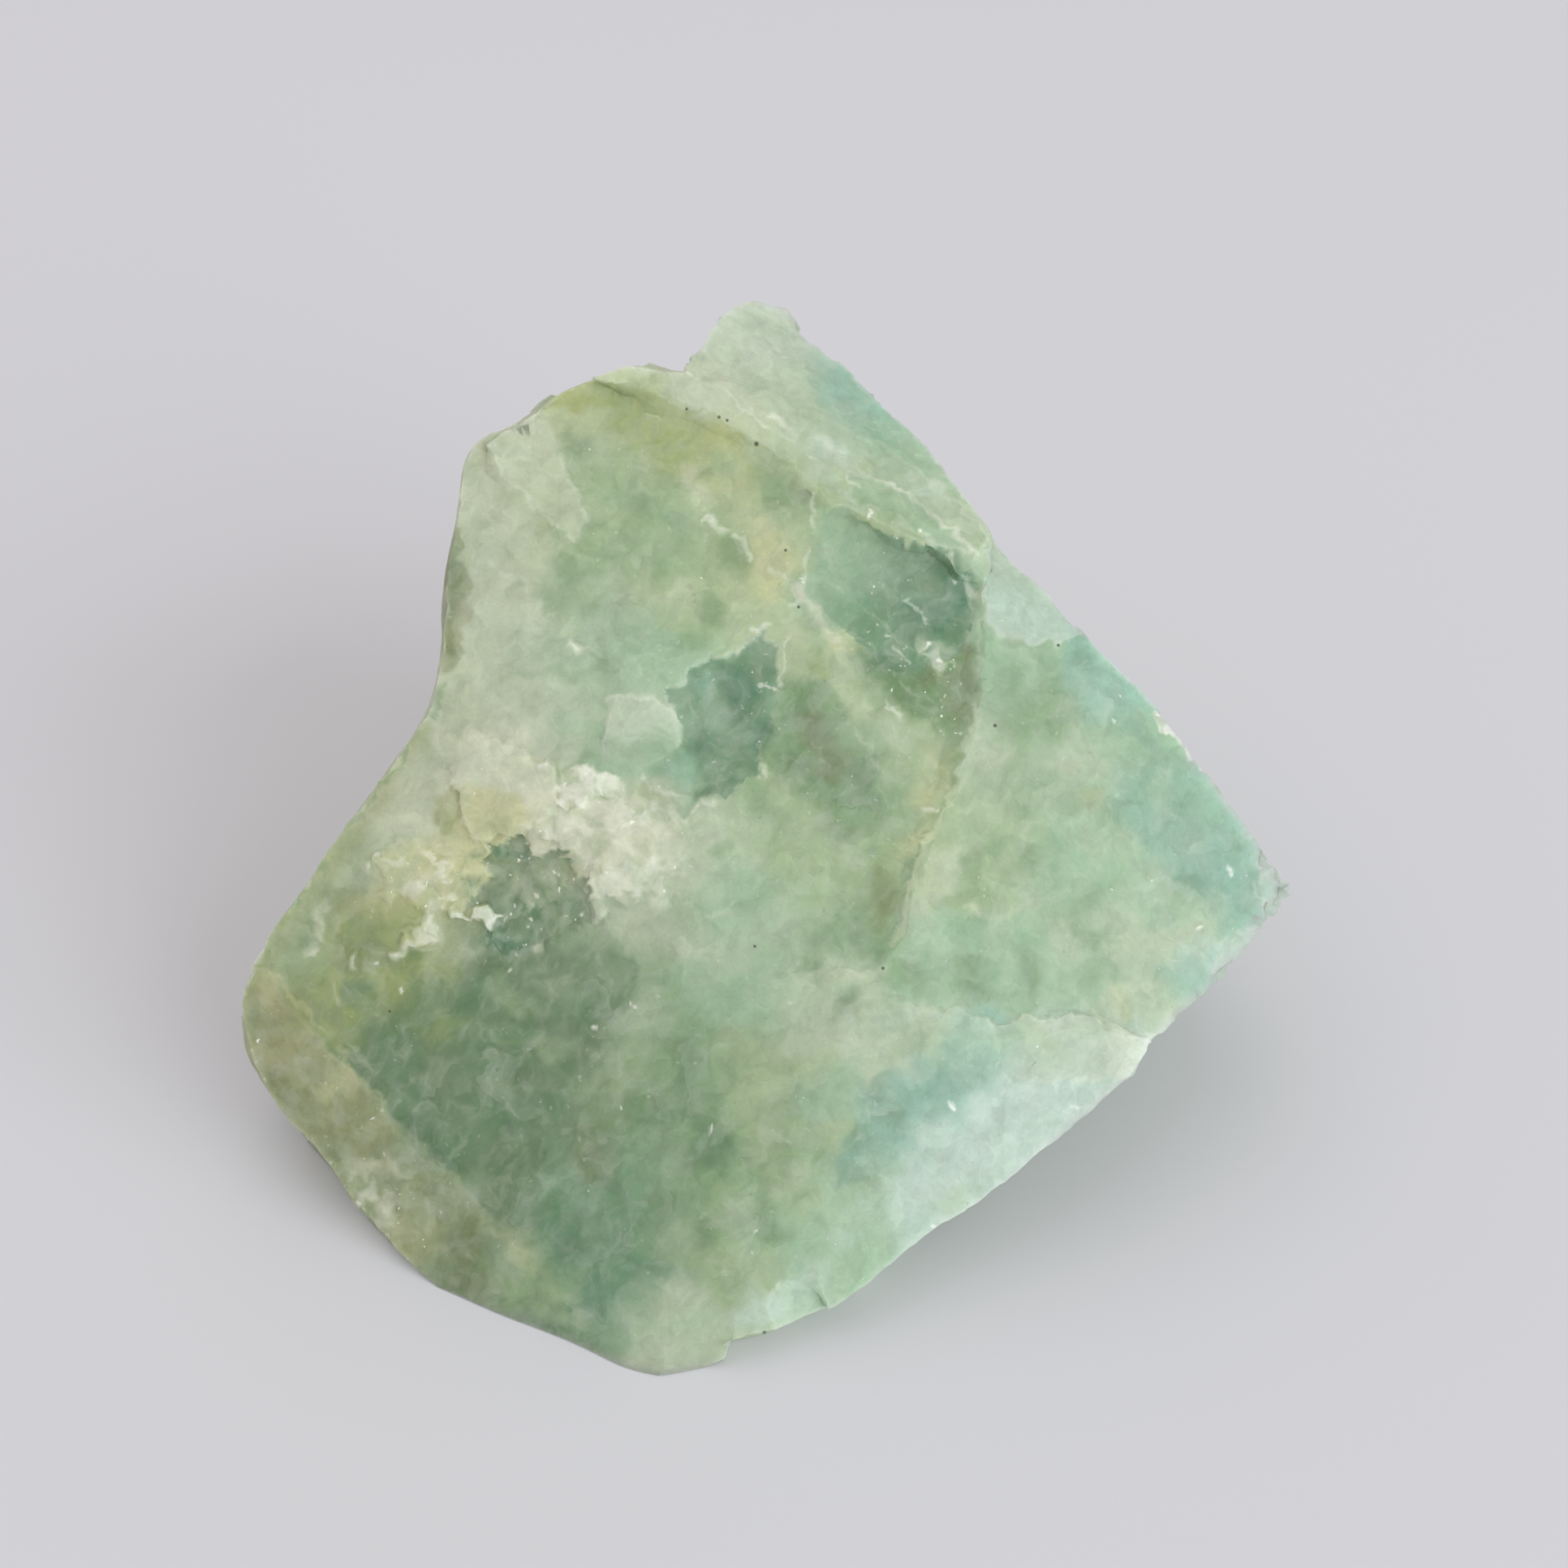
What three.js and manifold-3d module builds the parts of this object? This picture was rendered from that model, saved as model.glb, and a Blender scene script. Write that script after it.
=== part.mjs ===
// A raw aquamarine: one palm-size lump of cloudy beryl, broken on nearly every side.
//
// The stone is described in the frame of its broad front, which leans back over the base:
// u runs right across the front, v up it and w out of it, in millimetres. The blank is the
// outline of the front, drawn in slightly toward the front. Each face is then a fracture
// plane, cut over the whole stone or inside one patch, and a ledge is where two neighbouring
// patches stop at different heights. The hidden sides are cut in the upright frame, x right,
// y back and z up from the resting face. Last, the faces are divided and worn uneven.

import * as THREE from 'three';
import { mergeVertices } from 'three/addons/utils/BufferGeometryUtils.js';
import { ImprovedNoise } from 'three/addons/math/ImprovedNoise.js';
import Module from 'manifold-3d';

// ---- Driving dimensions, in millimetres and degrees ----

const FRONT_ELEVATION = 42; // the broad front looks up at this angle, degrees
const CENTRE_HEIGHT = 21.5; // the front frame's origin stands this far over the base
const ORIGIN = { x: -1.08, y: 1.48 }; // middle of the stone, in the front frame's x and y
const TAPER_LENGTH = 133; // the blank's sides would meet in a point this far out
const BLANK_BACK = -62; // deepest end of the blank
const BLANK_FRONT = 18; // outer end of the blank, clear of every front face
const FLAKE_ROOT = -2; // flakes left standing reach down to here
const FAR = 160; // size of the block that a fracture plane cuts away

const MAX_EDGE = 2.8; // longest edge left on the broken surface
const MIN_EDGE = 0.35; // splinters narrower than this are closed up
const MAX_BASE_EDGE = 9; // longest edge left inside the resting face
const ON_BASE = 1e-3; // a corner this near the base lies on it
const FLAT_ENOUGH = 0.02; // a corner this near the edge opposite to it lies on that edge
const SAME_PLANE = 0.99999; // cosine of the angle between faces that count as one plane
const SAME_SIDE = 0.99; // cosine of the angle that a face may turn by when it is redrawn
const ANGLE_SLACK = 1e-3; // radians by which redrawn faces must be more even
const ROUNDS = 12; // at most this many halvings of the longest edges
const PASSES = 8; // at most this many passes of tidying in each round
const MAX_CORNERS = 1e6; // more corners than the stone has
const BASE_FADE = 2.5; // wear fades out below this height, so the base stays flat

const SWELLS = [ // unevenness of the broken surface, each from its own part of the noise
  { height: 0.5, length: 13, start: 7.3 },
  { height: 0.3, length: 5.2, start: 14.6 },
];
const SWELL_SHIFT = { y: 31, z: 57 }; // sets the unevenness of y and z apart from that of x

// ---- Outline of the front, clockwise from the notch beside the crest ----

const OUTLINE = [
  // dome
  [-5.4, 26.3], [-4.3, 28.1], [-1.8, 29.9], [0.1, 30.1], [1.9, 29.5], [3.2, 28.2],
  // straight edge of the old prism face
  [6.2, 24.3], [9.2, 20.3], [12.3, 16.3], [12.7, 15.5], [13.3, 14.3], [16.2, 11.6],
  [18.9, 8.7], [23.7, 3.8], [26.2, 1.1], [28.2, -1.7], [30.7, -4.7], [31.6, -6],
  // right corner
  [31.1, -7.6], [30.2, -8.8], [29.3, -10.5], [27.9, -11.4], [25.4, -13.4], [23.3, -15.2],
  // lower right edge, lifted off the floor
  [22.3, -15.6], [21.1, -17.9], [18.7, -20.4], [14.7, -23.7], [11.7, -26.1], [9.8, -27.1],
  [8.2, -28.2], [6.2, -30.1], [4.2, -31.4], [1.7, -32.7], [-1.3, -33.9], [-3, -34.1],
  // toe, on the floor
  [-3.5, -35.3], [-4.8, -35.8], [-7.3, -36.2], [-9.8, -35.8], [-12.3, -35], [-18.3, -32.6],
  [-21.1, -30.9], [-23.8, -28.7], [-26.3, -26.2], [-27.6, -24.3], [-29.3, -22.2],
  // left corner
  [-31.8, -19.2], [-33, -16.7], [-33.4, -14.2], [-33.2, -12.4], [-32.5, -10.7],
  // waist
  [-30.8, -8], [-28.8, -5.3], [-26.3, -1.9], [-24.3, 1.1], [-22.3, 3.6], [-21.4, 5.2],
  [-20.9, 8.1], [-20.9, 10.6], [-20.6, 13.8], [-20.2, 17.1], [-19.4, 20.3],
  // crest
  [-18.4, 21.3], [-17.3, 21.8], [-16.3, 22.4], [-15.2, 22.9], [-13.8, 24], [-12.5, 24.5],
  [-11.1, 25.2], [-9.6, 25.7], [-8.2, 25.8], [-6.8, 25.2], [-5.9, 25.2],
];

// ---- Lines where the front steps, as seen square to it ----

const RIM_FOOT = [[-12.3, 25.1], [-9.3, 24.3], [-6.3, 23.3], [-4, 22.6], [-1.7, 20.9],
  [0.5, 19.3], [1.9, 17.7]];
const HOLLOW_TOP = [[3.7, 16.8], [5.2, 15.8], [7.7, 14.6], [9.7, 14.8], [10.4, 14],
  [10.9, 11.9]];
const LONG_LEDGE = [[12.3, 12.2], [12, 11.1], [12.3, 8.8], [11.8, 6.8], [11.7, 5], [11.4, 3.2],
  [10.7, 2.4], [10.5, 0.1], [9.6, -2], [8.7, -2.9], [8, -5], [7.2, -8.2], [6.5, -9.7],
  [6.1, -11.5]];
const CROSS_LEDGE = [[6.3, -12.6], [8.2, -13.6], [10.7, -14], [12.8, -14.7], [14.8, -14.4],
  [17.2, -14.4], [18.9, -14.2], [20.2, -14.8], [21.7, -15.6], [24, -16.4]];
const CRACK = [[1.7, 15.3], [1.2, 12.3], [0.4, 8.8], [0.6, 5], [1.9, 0], [4.2, -6.5],
  [5.3, -10.8]];
const SMALL_LEDGE = [[3.7, -11.2], [1.7, -11.4], [-0.6, -12.2], [-4, -12]];

// ---- Fracture planes of the front: w = level + across * u + up * v ----

const BROAD = { level: 6.9, across: 0.19, up: -0.02 }; // lower left, the largest face
const UPPER = { level: 4.5, across: -0.19, up: -0.28 }; // from the broad face to the crest
const WING = { level: 7.45, across: -0.4, up: -0.22 }; // right of the long ledge
const APRON = { level: 12.2, across: -0.27, up: 0.19 }; // below the cross ledge
const SHOULDER = { level: 8.9, across: -0.04, up: 0.085 }; // turn from the broad face to it
const MIDDLE = { level: 5.3, across: 0.02, up: -0.175 }; // softens the turn between the two
const BEVEL = { level: 17.2, across: 0.42, up: 0.22 }; // lower left, down to the floor
const RIM = { level: 5.6, across: -0.19, up: -0.28 }; // narrow band above the ledges
const SHELF = { level: 15.95, across: -0.49, up: -0.76 }; // top of the stone, behind the rim
const WING_CHIP = { level: 15.3, across: -0.52, up: -0.85 }; // triangle on the prism edge
const HOLLOW = { level: 5.2, across: -0.31, up: -0.31 }; // scoop left of the long ledge
const SIDE_STRIP = { level: 59.2, across: 2.6, up: -0.36 }; // narrow side seen past the waist
const TOE_CHIP = { level: 10.9, across: -0.35, up: 0.16 }; // at the foot of the apron
const POCKET = { level: 4.46, across: 0.19, up: -0.23 }; // pit under the yellow lump
const WEDGE = { level: 3.9, across: -0.12, up: -0.27 }; // sunken triangle right of the plate
const PLATE = { level: 5.9, across: 0.02, up: -0.175 }; // square-cornered flake over it
const CRUST = { level: 6.2, across: 0.13, up: -0.21 }; // white crust overhanging the pocket
const LEFT_CRUST = { level: 7.5, across: 0.19, up: -0.02 }; // yellow crust at the left end
const FLAKE = { level: 4.6, across: -0.19, up: -0.28 }; // flake under the left of the crest

// ---- Patches that those planes are cut in ----

const UPPER_PATCH = [[-26, 34], [-12.5, 34], ...RIM_FOOT, ...CRACK, ...SMALL_LEDGE, [-26, -4]];
const HOLLOW_PATCH = [...HOLLOW_TOP, ...LONG_LEDGE, [4.4, -10.6], [2, -9], [-0.6, 2], [-1.4, 9],
  [-0.6, 13], [1.4, 16.6]];
const WING_PATCH = [[2, -11.4], ...CROSS_LEDGE, [40, -20], [40, 24], [2, 24]];
const WING_CHIP_PATCH = [[12.3, 12.2], [12.2, 10.6], [13.3, 9.5], [14.8, 8.7], [15.9, 8.8],
  [16.8, 8.6], [18.6, 9.2], [24, 12], [16, 20], [12.9, 15.2]];
const SIDE_STRIP_PATCH = [[-28, 6], [-16, 6], [-16, 24], [-28, 24]];
const TOE_CHIP_PATCH = [[-3.6, -36], [-3, -33.4], [-1.9, -31.6], [0.8, -29.9], [2.3, -31.3],
  [4, -34], [0, -36]];
const POCKET_PATCH = [[-19.6, -4.6], [-17, -2], [-12, -2.6], [-10.6, -5], [-11, -7.7],
  [-11.3, -9.8], [-13.2, -11.8], [-15.8, -12], [-17.9, -10.8], [-18.6, -9.2], [-17.6, -8.2],
  [-19.3, -7.3]];
const CRUST_PATCH = [[-20.3, 2.6], [-16.3, 2.8], [-13.3, 0.6], [-8.8, 0.9], [-3.3, -1.2],
  [-2.6, -4.5], [-3.6, -6.3], [-5.8, -5.4], [-8.8, -6.2], [-11.6, -6], [-12.5, -4.2],
  [-13.8, -3.2], [-15.3, -3.6], [-16.3, -4.6], [-18.3, -4.2], [-19.6, -5.6], [-21, -4.4]];
const LEFT_CRUST_PATCH = [[-20.3, -2.2], [-19.5, -5.4], [-21.3, -6], [-22, -7.9], [-23.3, -10.2],
  [-24.3, -9.7], [-25.4, -7.2], [-26.9, -7.7], [-26.6, -4.6], [-23.2, -1.2]];
const WEDGE_PATCH = [[-7, 5.3], [-3.5, 8.8], [-1.8, 9.7], [-0.3, 7.5], [-0.9, 3.3], [-1.4, 0.2],
  [-2.6, -1.2], [-6.2, 0.5], [-6.8, 3.3]];
const PLATE_PATCH = [[-10.8, 5.6], [-8.2, 5.7], [-6.6, 5.2], [-6.4, 3.2], [-6.1, 0.6],
  [-8.6, -0.8], [-11, 0.8], [-11.2, 3.2]];
const FLAKE_PATCH = [[-18, 21], [-18, 19.3], [-15.6, 17.2], [-13.1, 15.3], [-12.7, 16.6],
  [-12.8, 18.2], [-13.8, 20.2], [-14.4, 22.4], [-16, 22.3]];

// ---- Lumps grown or left standing on the front: place, half sizes and turn ----

const LUMPS = [
  { at: [-17.2, -0.4], size: [5.6, 5.4, 5], rise: 1, turn: 20 }, // yellow lump by the waist
  { at: [-13.3, -0.2], size: [4, 2, 3], rise: 0.8, turn: -35 }, // head of the white ridge
  { at: [-11.9, -3.4], size: [4.6, 3.4, 3.4], rise: 0.8, turn: -10 }, // knob over the pocket
  { at: [-9.8, -5.4], size: [4.6, 2.4, 3], rise: 0.7, turn: 8 }, // knob at the crust's foot
];

// ---- Hidden sides in the upright frame: a point on the plane and its outward normal ----

const SIDES = {
  prismFace: { through: [32.2, -1.6, 14], facing: [0.753, 0.598, 0.277] },
  backUpper: { through: [0, 28.6, 39], facing: [-0.06, 0.99, 0.12] },
  backLower: { through: [0, 30, 17], facing: [0.1, 0.95, -0.32] },
  leftBack: { through: [-33.6, -7.5, 12], facing: [-0.867, 0.498, 0.02] },
  leftUndercut: { through: [-33.9, -8, 4.5], facing: [-0.706, 0.262, -0.657] },
  rightUndercut: { through: [4, -23.8, 0], facing: [0.594, -0.284, -0.753] },
  domeFlank: { through: [-4.9, 26.2, 38], facing: [-0.6, 0.79, 0.12] },
  backCorner: { through: [-14, 27, 20], facing: [-0.42, 0.86, -0.28] },
};
const BEHIND_CREST = { through: [-12, 17.8, 39.8], facing: [-0.22, 0.78, 0.585] };
const DOME_FLANK = { through: [-5.6, 24, 37], facing: [-0.88, 0.2, 0.43] };
const BACK_STEP = { through: [2, 28, 18], facing: [0.03, 0.99, 0.07] };
const BACK_STEP_END = { through: [3, 27, 17], facing: [0.72, 0, 0.69] };

const COLOUR = 0x9fc0a2; // cloudy blue-green, as a whole
const ROUGHNESS = 0.45;

// ---- Solids and cutters ----

const manifold = await Module();
manifold.setup();

const radians = THREE.MathUtils.degToRad;
const upright = new THREE.Matrix4()
  .makeRotationX(radians(90 - FRONT_ELEVATION))
  .setPosition(-ORIGIN.x, -ORIGIN.y, CENTRE_HEIGHT);

/** Turns a closed three.js geometry into a solid that can be joined and cut. */
function solidOf(geometry) {
  const bare = geometry.index ? geometry.toNonIndexed() : geometry.clone();
  bare.deleteAttribute('normal');
  bare.deleteAttribute('uv');
  const merged = mergeVertices(bare, 1e-4);
  return new manifold.Manifold(new manifold.Mesh({
    numProp: 3,
    vertProperties: new Float32Array(merged.attributes.position.array),
    triVerts: new Uint32Array(merged.index.array),
  }));
}

/** Height of a front plane over the outline point (a, b), which lies at w = 0. */
function heightAt(plane, a, b) {
  const slope = plane.across * a + plane.up * b;
  return (plane.level + slope) / (1 + slope / TAPER_LENGTH);
}

/** Extrudes a front outline between two height functions of (a, b), tapering to the front. */
function tapered(outline, lower, upper) {
  const shape = new THREE.Shape(outline.map(([a, b]) => new THREE.Vector2(a, b)));
  const geometry = new THREE.ExtrudeGeometry(shape, { depth: 1, steps: 1, bevelEnabled: false });
  const place = geometry.attributes.position;
  for (let i = 0; i < place.count; i += 1) {
    const a = place.getX(i);
    const b = place.getY(i);
    const w = place.getZ(i) < 0.5 ? lower(a, b) : upper(a, b);
    const draw = 1 - w / TAPER_LENGTH;
    place.setXYZ(i, a * draw, b * draw, w);
  }
  return solidOf(geometry.applyMatrix4(upright));
}

/** Everything that lies over a front plane inside a patch. */
function above(plane, patch) {
  return tapered(patch, (a, b) => heightAt(plane, a, b), () => BLANK_FRONT + 1);
}

/** A flake that fills a patch up to a front plane, rooted well inside the stone. */
function upTo(plane, patch) {
  return tapered(patch, () => FLAKE_ROOT, (a, b) => heightAt(plane, a, b));
}

/** The half space outside a plane, as a large block. */
function outside({ through, facing }) {
  const normal = new THREE.Vector3(...facing).normalize();
  const turn = new THREE.Quaternion().setFromUnitVectors(new THREE.Vector3(0, 0, 1), normal);
  const block = new THREE.BoxGeometry(FAR, FAR, FAR).translate(0, 0, FAR / 2);
  block.applyQuaternion(turn);
  block.translate(through[0] - ORIGIN.x, through[1] - ORIGIN.y, through[2]);
  return solidOf(block);
}

/** The half space over a front plane, as a large block. */
function beyond(plane) {
  const normal = new THREE.Vector3(-plane.across, -plane.up, 1).normalize();
  const turn = new THREE.Quaternion().setFromUnitVectors(new THREE.Vector3(0, 0, 1), normal);
  const block = new THREE.BoxGeometry(FAR, FAR, FAR).translate(0, 0, FAR / 2);
  block.applyQuaternion(turn).translate(0, 0, plane.level);
  return solidOf(block.applyMatrix4(upright));
}

/** A lump sunk into the broad face, so that it stands proud of it by its rise. */
function lump({ at: [a, b], size, rise, turn }) {
  const w = heightAt(BROAD, a, b) + rise - size[2];
  const draw = 1 - w / TAPER_LENGTH;
  const ball = new THREE.IcosahedronGeometry(1, 2);
  ball.scale(...size).rotateZ(radians(turn)).translate(a * draw, b * draw, w);
  return solidOf(ball.applyMatrix4(upright));
}

/** The stone with plane faces and sharp ledges, standing on a flat base. */
function brokenStone() {
  let stone = tapered(OUTLINE, () => BLANK_BACK, () => BLANK_FRONT);
  for (const plane of [BROAD, MIDDLE, APRON, SHOULDER, BEVEL, RIM, SHELF]) {
    stone = stone.subtract(beyond(plane));
  }
  const patches = [
    [UPPER, UPPER_PATCH],
    [HOLLOW, HOLLOW_PATCH],
    [WING, WING_PATCH],
    [WING_CHIP, WING_CHIP_PATCH],
    [SIDE_STRIP, SIDE_STRIP_PATCH],
    [TOE_CHIP, TOE_CHIP_PATCH],
    [POCKET, POCKET_PATCH],
    [WEDGE, WEDGE_PATCH],
  ];
  for (const [plane, patch] of patches) {
    stone = stone.subtract(above(plane, patch));
  }
  const flakes = [
    [CRUST, CRUST_PATCH],
    [LEFT_CRUST, LEFT_CRUST_PATCH],
    [PLATE, PLATE_PATCH],
    [FLAKE, FLAKE_PATCH],
  ];
  for (const [plane, patch] of flakes) {
    stone = stone.add(upTo(plane, patch));
  }
  for (const shape of LUMPS) {
    stone = stone.add(lump(shape));
  }
  for (const side of Object.values(SIDES)) {
    stone = stone.subtract(outside(side));
  }
  stone = stone.subtract(outside(BEHIND_CREST).intersect(outside(DOME_FLANK)));
  stone = stone.subtract(outside(BACK_STEP).intersect(outside(BACK_STEP_END)));
  return stone.subtract(outside({ through: [0, 0, 0], facing: [0, 0, -1] }));
}

// ---- Dividing and wearing the faces ----

/** Corners and triangles of a solid as plain arrays. */
function netOf(solid) {
  const mesh = solid.getMesh();
  const points = [];
  for (let i = 0; i < mesh.vertProperties.length; i += mesh.numProp) {
    points.push(new THREE.Vector3(
      mesh.vertProperties[i],
      mesh.vertProperties[i + 1],
      mesh.vertProperties[i + 2],
    ));
  }
  const faces = [];
  for (let i = 0; i < mesh.triVerts.length; i += 3) {
    faces.push([mesh.triVerts[i], mesh.triVerts[i + 1], mesh.triVerts[i + 2]]);
  }
  return { points, faces };
}

/** One name for an edge, whichever way it runs. */
function edgeKey(from, to) {
  return from < to ? from * MAX_CORNERS + to : to * MAX_CORNERS + from;
}

/** The corners that share an edge with each corner. */
function neighboursOf(net) {
  const neighbours = net.points.map(() => new Set());
  for (const face of net.faces) {
    for (let i = 0; i < 3; i += 1) {
      neighbours[face[i]].add(face[(i + 1) % 3]);
      neighbours[face[(i + 1) % 3]].add(face[i]);
    }
  }
  return neighbours;
}

/**
 * Closes up edges that are too short, wherever that leaves the surface whole. Returns how many
 * it closed.
 */
function closeShortEdges(net) {
  const neighbours = neighboursOf(net);
  const settled = new Set();
  const moved = new Map();
  for (const face of net.faces) {
    for (let i = 0; i < 3; i += 1) {
      const ends = [face[i], face[(i + 1) % 3]];
      const [p, q] = ends.map((end) => net.points[end]);
      if (ends.some((end) => settled.has(end)) || p.distanceTo(q) >= MIN_EDGE) continue;
      const shared = [...neighbours[ends[0]]].filter((n) => neighbours[ends[1]].has(n));
      if (shared.length !== 2) continue;
      const [kept, dropped] = q.z < p.z ? [ends[1], ends[0]] : ends; // keep the one on the base
      moved.set(dropped, kept);
      for (const end of ends) {
        settled.add(end);
        neighbours[end].forEach((n) => settled.add(n));
      }
    }
  }
  net.faces = net.faces
    .map((face) => face.map((corner) => moved.get(corner) ?? corner))
    .filter(([a, b, c]) => a !== b && b !== c && c !== a);
  return moved.size;
}

/** The longest that the edge between two points may stay. */
function allowance(p, q) {
  const onBase = Math.abs(p.z) < ON_BASE && Math.abs(q.z) < ON_BASE;
  return onBase ? MAX_BASE_EDGE : MAX_EDGE;
}

/** Halves each edge that is too long. Returns whether any was. */
function splitLongEdges(net) {
  const middles = new Map();
  const middleOf = (from, to) => {
    const key = edgeKey(from, to);
    if (!middles.has(key)) {
      const p = net.points[from];
      const q = net.points[to];
      const long = p.distanceTo(q) > allowance(p, q);
      middles.set(key, long ? net.points.push(p.clone().lerp(q, 0.5)) - 1 : -1);
    }
    return middles.get(key);
  };
  const faces = [];
  for (const face of net.faces) {
    const middle = face.map((corner, i) => middleOf(corner, face[(i + 1) % 3]));
    const split = middle.filter((m) => m >= 0).length;
    if (split === 0) {
      faces.push(face);
    } else if (split === 3) {
      for (let i = 0; i < 3; i += 1) {
        faces.push([face[i], middle[i], middle[(i + 2) % 3]]);
      }
      faces.push(middle);
    } else {
      // turn the face until its first edge is split and, of two, its last edge is not
      const first = [0, 1, 2].find((i) => middle[i] >= 0 && middle[(i + 2) % 3] < 0);
      const [a, b, c] = [0, 1, 2].map((i) => face[(first + i) % 3]);
      const ab = middle[first];
      const bc = middle[(first + 1) % 3];
      faces.push([a, ab, c]);
      if (bc < 0) {
        faces.push([ab, b, c]);
      } else {
        faces.push([ab, b, bc], [ab, bc, c]);
      }
    }
  }
  const changed = faces.length > net.faces.length;
  net.faces = faces;
  return changed;
}

/** Angle at the corner between two neighbours. */
function angleAt(corner, p, q) {
  return p.clone().sub(corner).angleTo(q.clone().sub(corner));
}

/** Distance of a corner from the line through its two neighbours. */
function heightOver(corner, p, q) {
  const along = q.clone().sub(p).normalize();
  return corner.clone().sub(p).cross(along).length();
}

/**
 * Turns edges inside flat faces until the triangles on them are as even as they can be, and
 * hands splinters over to the face beside them. Returns how many edges it turned.
 */
function evenOut(net) {
  const wings = new Map(); // edge -> faces beside it
  net.faces.forEach((face, index) => {
    for (let i = 0; i < 3; i += 1) {
      const key = edgeKey(face[i], face[(i + 1) % 3]);
      wings.set(key, [...(wings.get(key) ?? []), index]);
    }
  });
  const touched = new Set();
  const normalOf = (face) => {
    const [a, b, c] = face.map((i) => net.points[i]);
    return b.clone().sub(a).cross(c.clone().sub(a)).normalize();
  };
  let turned = 0;
  for (const [key, pair] of wings) {
    if (pair.length !== 2 || touched.has(pair[0]) || touched.has(pair[1])) continue;
    const low = Math.floor(key / MAX_CORNERS);
    const high = key % MAX_CORNERS;
    const [one, two] = pair.map((index) => net.faces[index]);
    const tipOne = one.find((i) => i !== low && i !== high);
    const tipTwo = two.find((i) => i !== low && i !== high);
    if (wings.has(edgeKey(tipOne, tipTwo))) continue;
    const [p, q, r, s] = [low, high, tipOne, tipTwo].map((i) => net.points[i]);
    const flatOne = heightOver(r, p, q) < FLAT_ENOUGH;
    const flatTwo = heightOver(s, p, q) < FLAT_ENOUGH;
    const level = normalOf(one).dot(normalOf(two)) >= SAME_PLANE;
    if (!level && flatOne === flatTwo) continue;
    if (angleAt(r, p, q) + angleAt(s, p, q) < Math.PI + ANGLE_SLACK) continue;
    const facing = normalOf(flatOne ? two : one);
    const from = one[(one.indexOf(tipOne) + 1) % 3]; // the shared edge runs from -> to in one
    const to = one[(one.indexOf(tipOne) + 2) % 3];
    const fresh = [[tipOne, from, tipTwo], [tipOne, tipTwo, to]];
    if (fresh.some((face) => normalOf(face).dot(facing) < SAME_SIDE)) continue;
    [net.faces[pair[0]], net.faces[pair[1]]] = fresh;
    wings.set(edgeKey(tipOne, tipTwo), pair);
    touched.add(pair[0]);
    touched.add(pair[1]);
    turned += 1;
  }
  return turned;
}

/** Repeats a step until it changes nothing more. */
function settle(step) {
  for (let pass = 0; pass < PASSES; pass += 1) {
    if (step() === 0) return;
  }
}

/** Divides the faces finely enough to be worn. */
function divide(net) {
  for (let round = 0; round < ROUNDS; round += 1) {
    settle(() => closeShortEdges(net));
    settle(() => evenOut(net));
    if (!splitLongEdges(net)) return;
  }
}

/** Shifts each corner by a smooth, repeatable unevenness that fades out at the base. */
function wear(net) {
  const noise = new ImprovedNoise();
  const origin = new THREE.Vector3(ORIGIN.x, ORIGIN.y, 0);
  for (const point of net.points) {
    const shift = new THREE.Vector3();
    for (const { height, length, start } of SWELLS) {
      const at = point.clone().add(origin).divideScalar(length).addScalar(start);
      shift.x += height * noise.noise(at.x, at.y, at.z);
      shift.y += height * noise.noise(at.y + SWELL_SHIFT.y, at.z, at.x);
      shift.z += height * noise.noise(at.z, at.x + SWELL_SHIFT.z, at.y);
    }
    shift.z *= THREE.MathUtils.smoothstep(point.z, 0, BASE_FADE);
    point.add(shift);
  }
}

/** Makes the three.js geometry of a net. */
function geometryOf(net) {
  const geometry = new THREE.BufferGeometry();
  const places = new Float32Array(net.points.flatMap((point) => point.toArray()));
  geometry.setAttribute('position', new THREE.BufferAttribute(places, 3));
  geometry.setIndex(net.faces.flat());
  geometry.computeVertexNormals();
  return geometry;
}

/** The finished stone as a named mesh. */
function aquamarine() {
  const net = netOf(brokenStone());
  divide(net);
  wear(net);
  const material = new THREE.MeshStandardMaterial({ color: COLOUR, roughness: ROUGHNESS });
  const mesh = new THREE.Mesh(geometryOf(net), material);
  mesh.name = 'aquamarine';
  return mesh;
}

const group = new THREE.Group();
group.add(aquamarine());

export default group;
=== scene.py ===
"""Looks for a raw aquamarine: one cloudy, waxy lump of beryl, broken on nearly every side.

The stone starts as a merged copy of its solid. Its faces are divided finely, evened between
the real edges, and then worn: ledges turn ragged, faces swell and ripple, the crust turns
grainy. Colour is laid on in the frame of the broad front, where a runs right across the
front, b up it and w out of it, in millimetres: soft clouds first, then flakes and hollows
with crisp ragged edges, then spots, streaks and cracks. Painted shade darkens the hollows
and the sides turned away, and painted light brightens what stands out. The finish adds
inner films, grain and flecks, the bright flecks partly painted glints.
"""

from __future__ import annotations

import logging
import math
from collections.abc import Sequence
from dataclasses import dataclass, field
from enum import Enum

import bmesh
import bpy
import numpy as np
from mathutils import Matrix, Vector, noise

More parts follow.
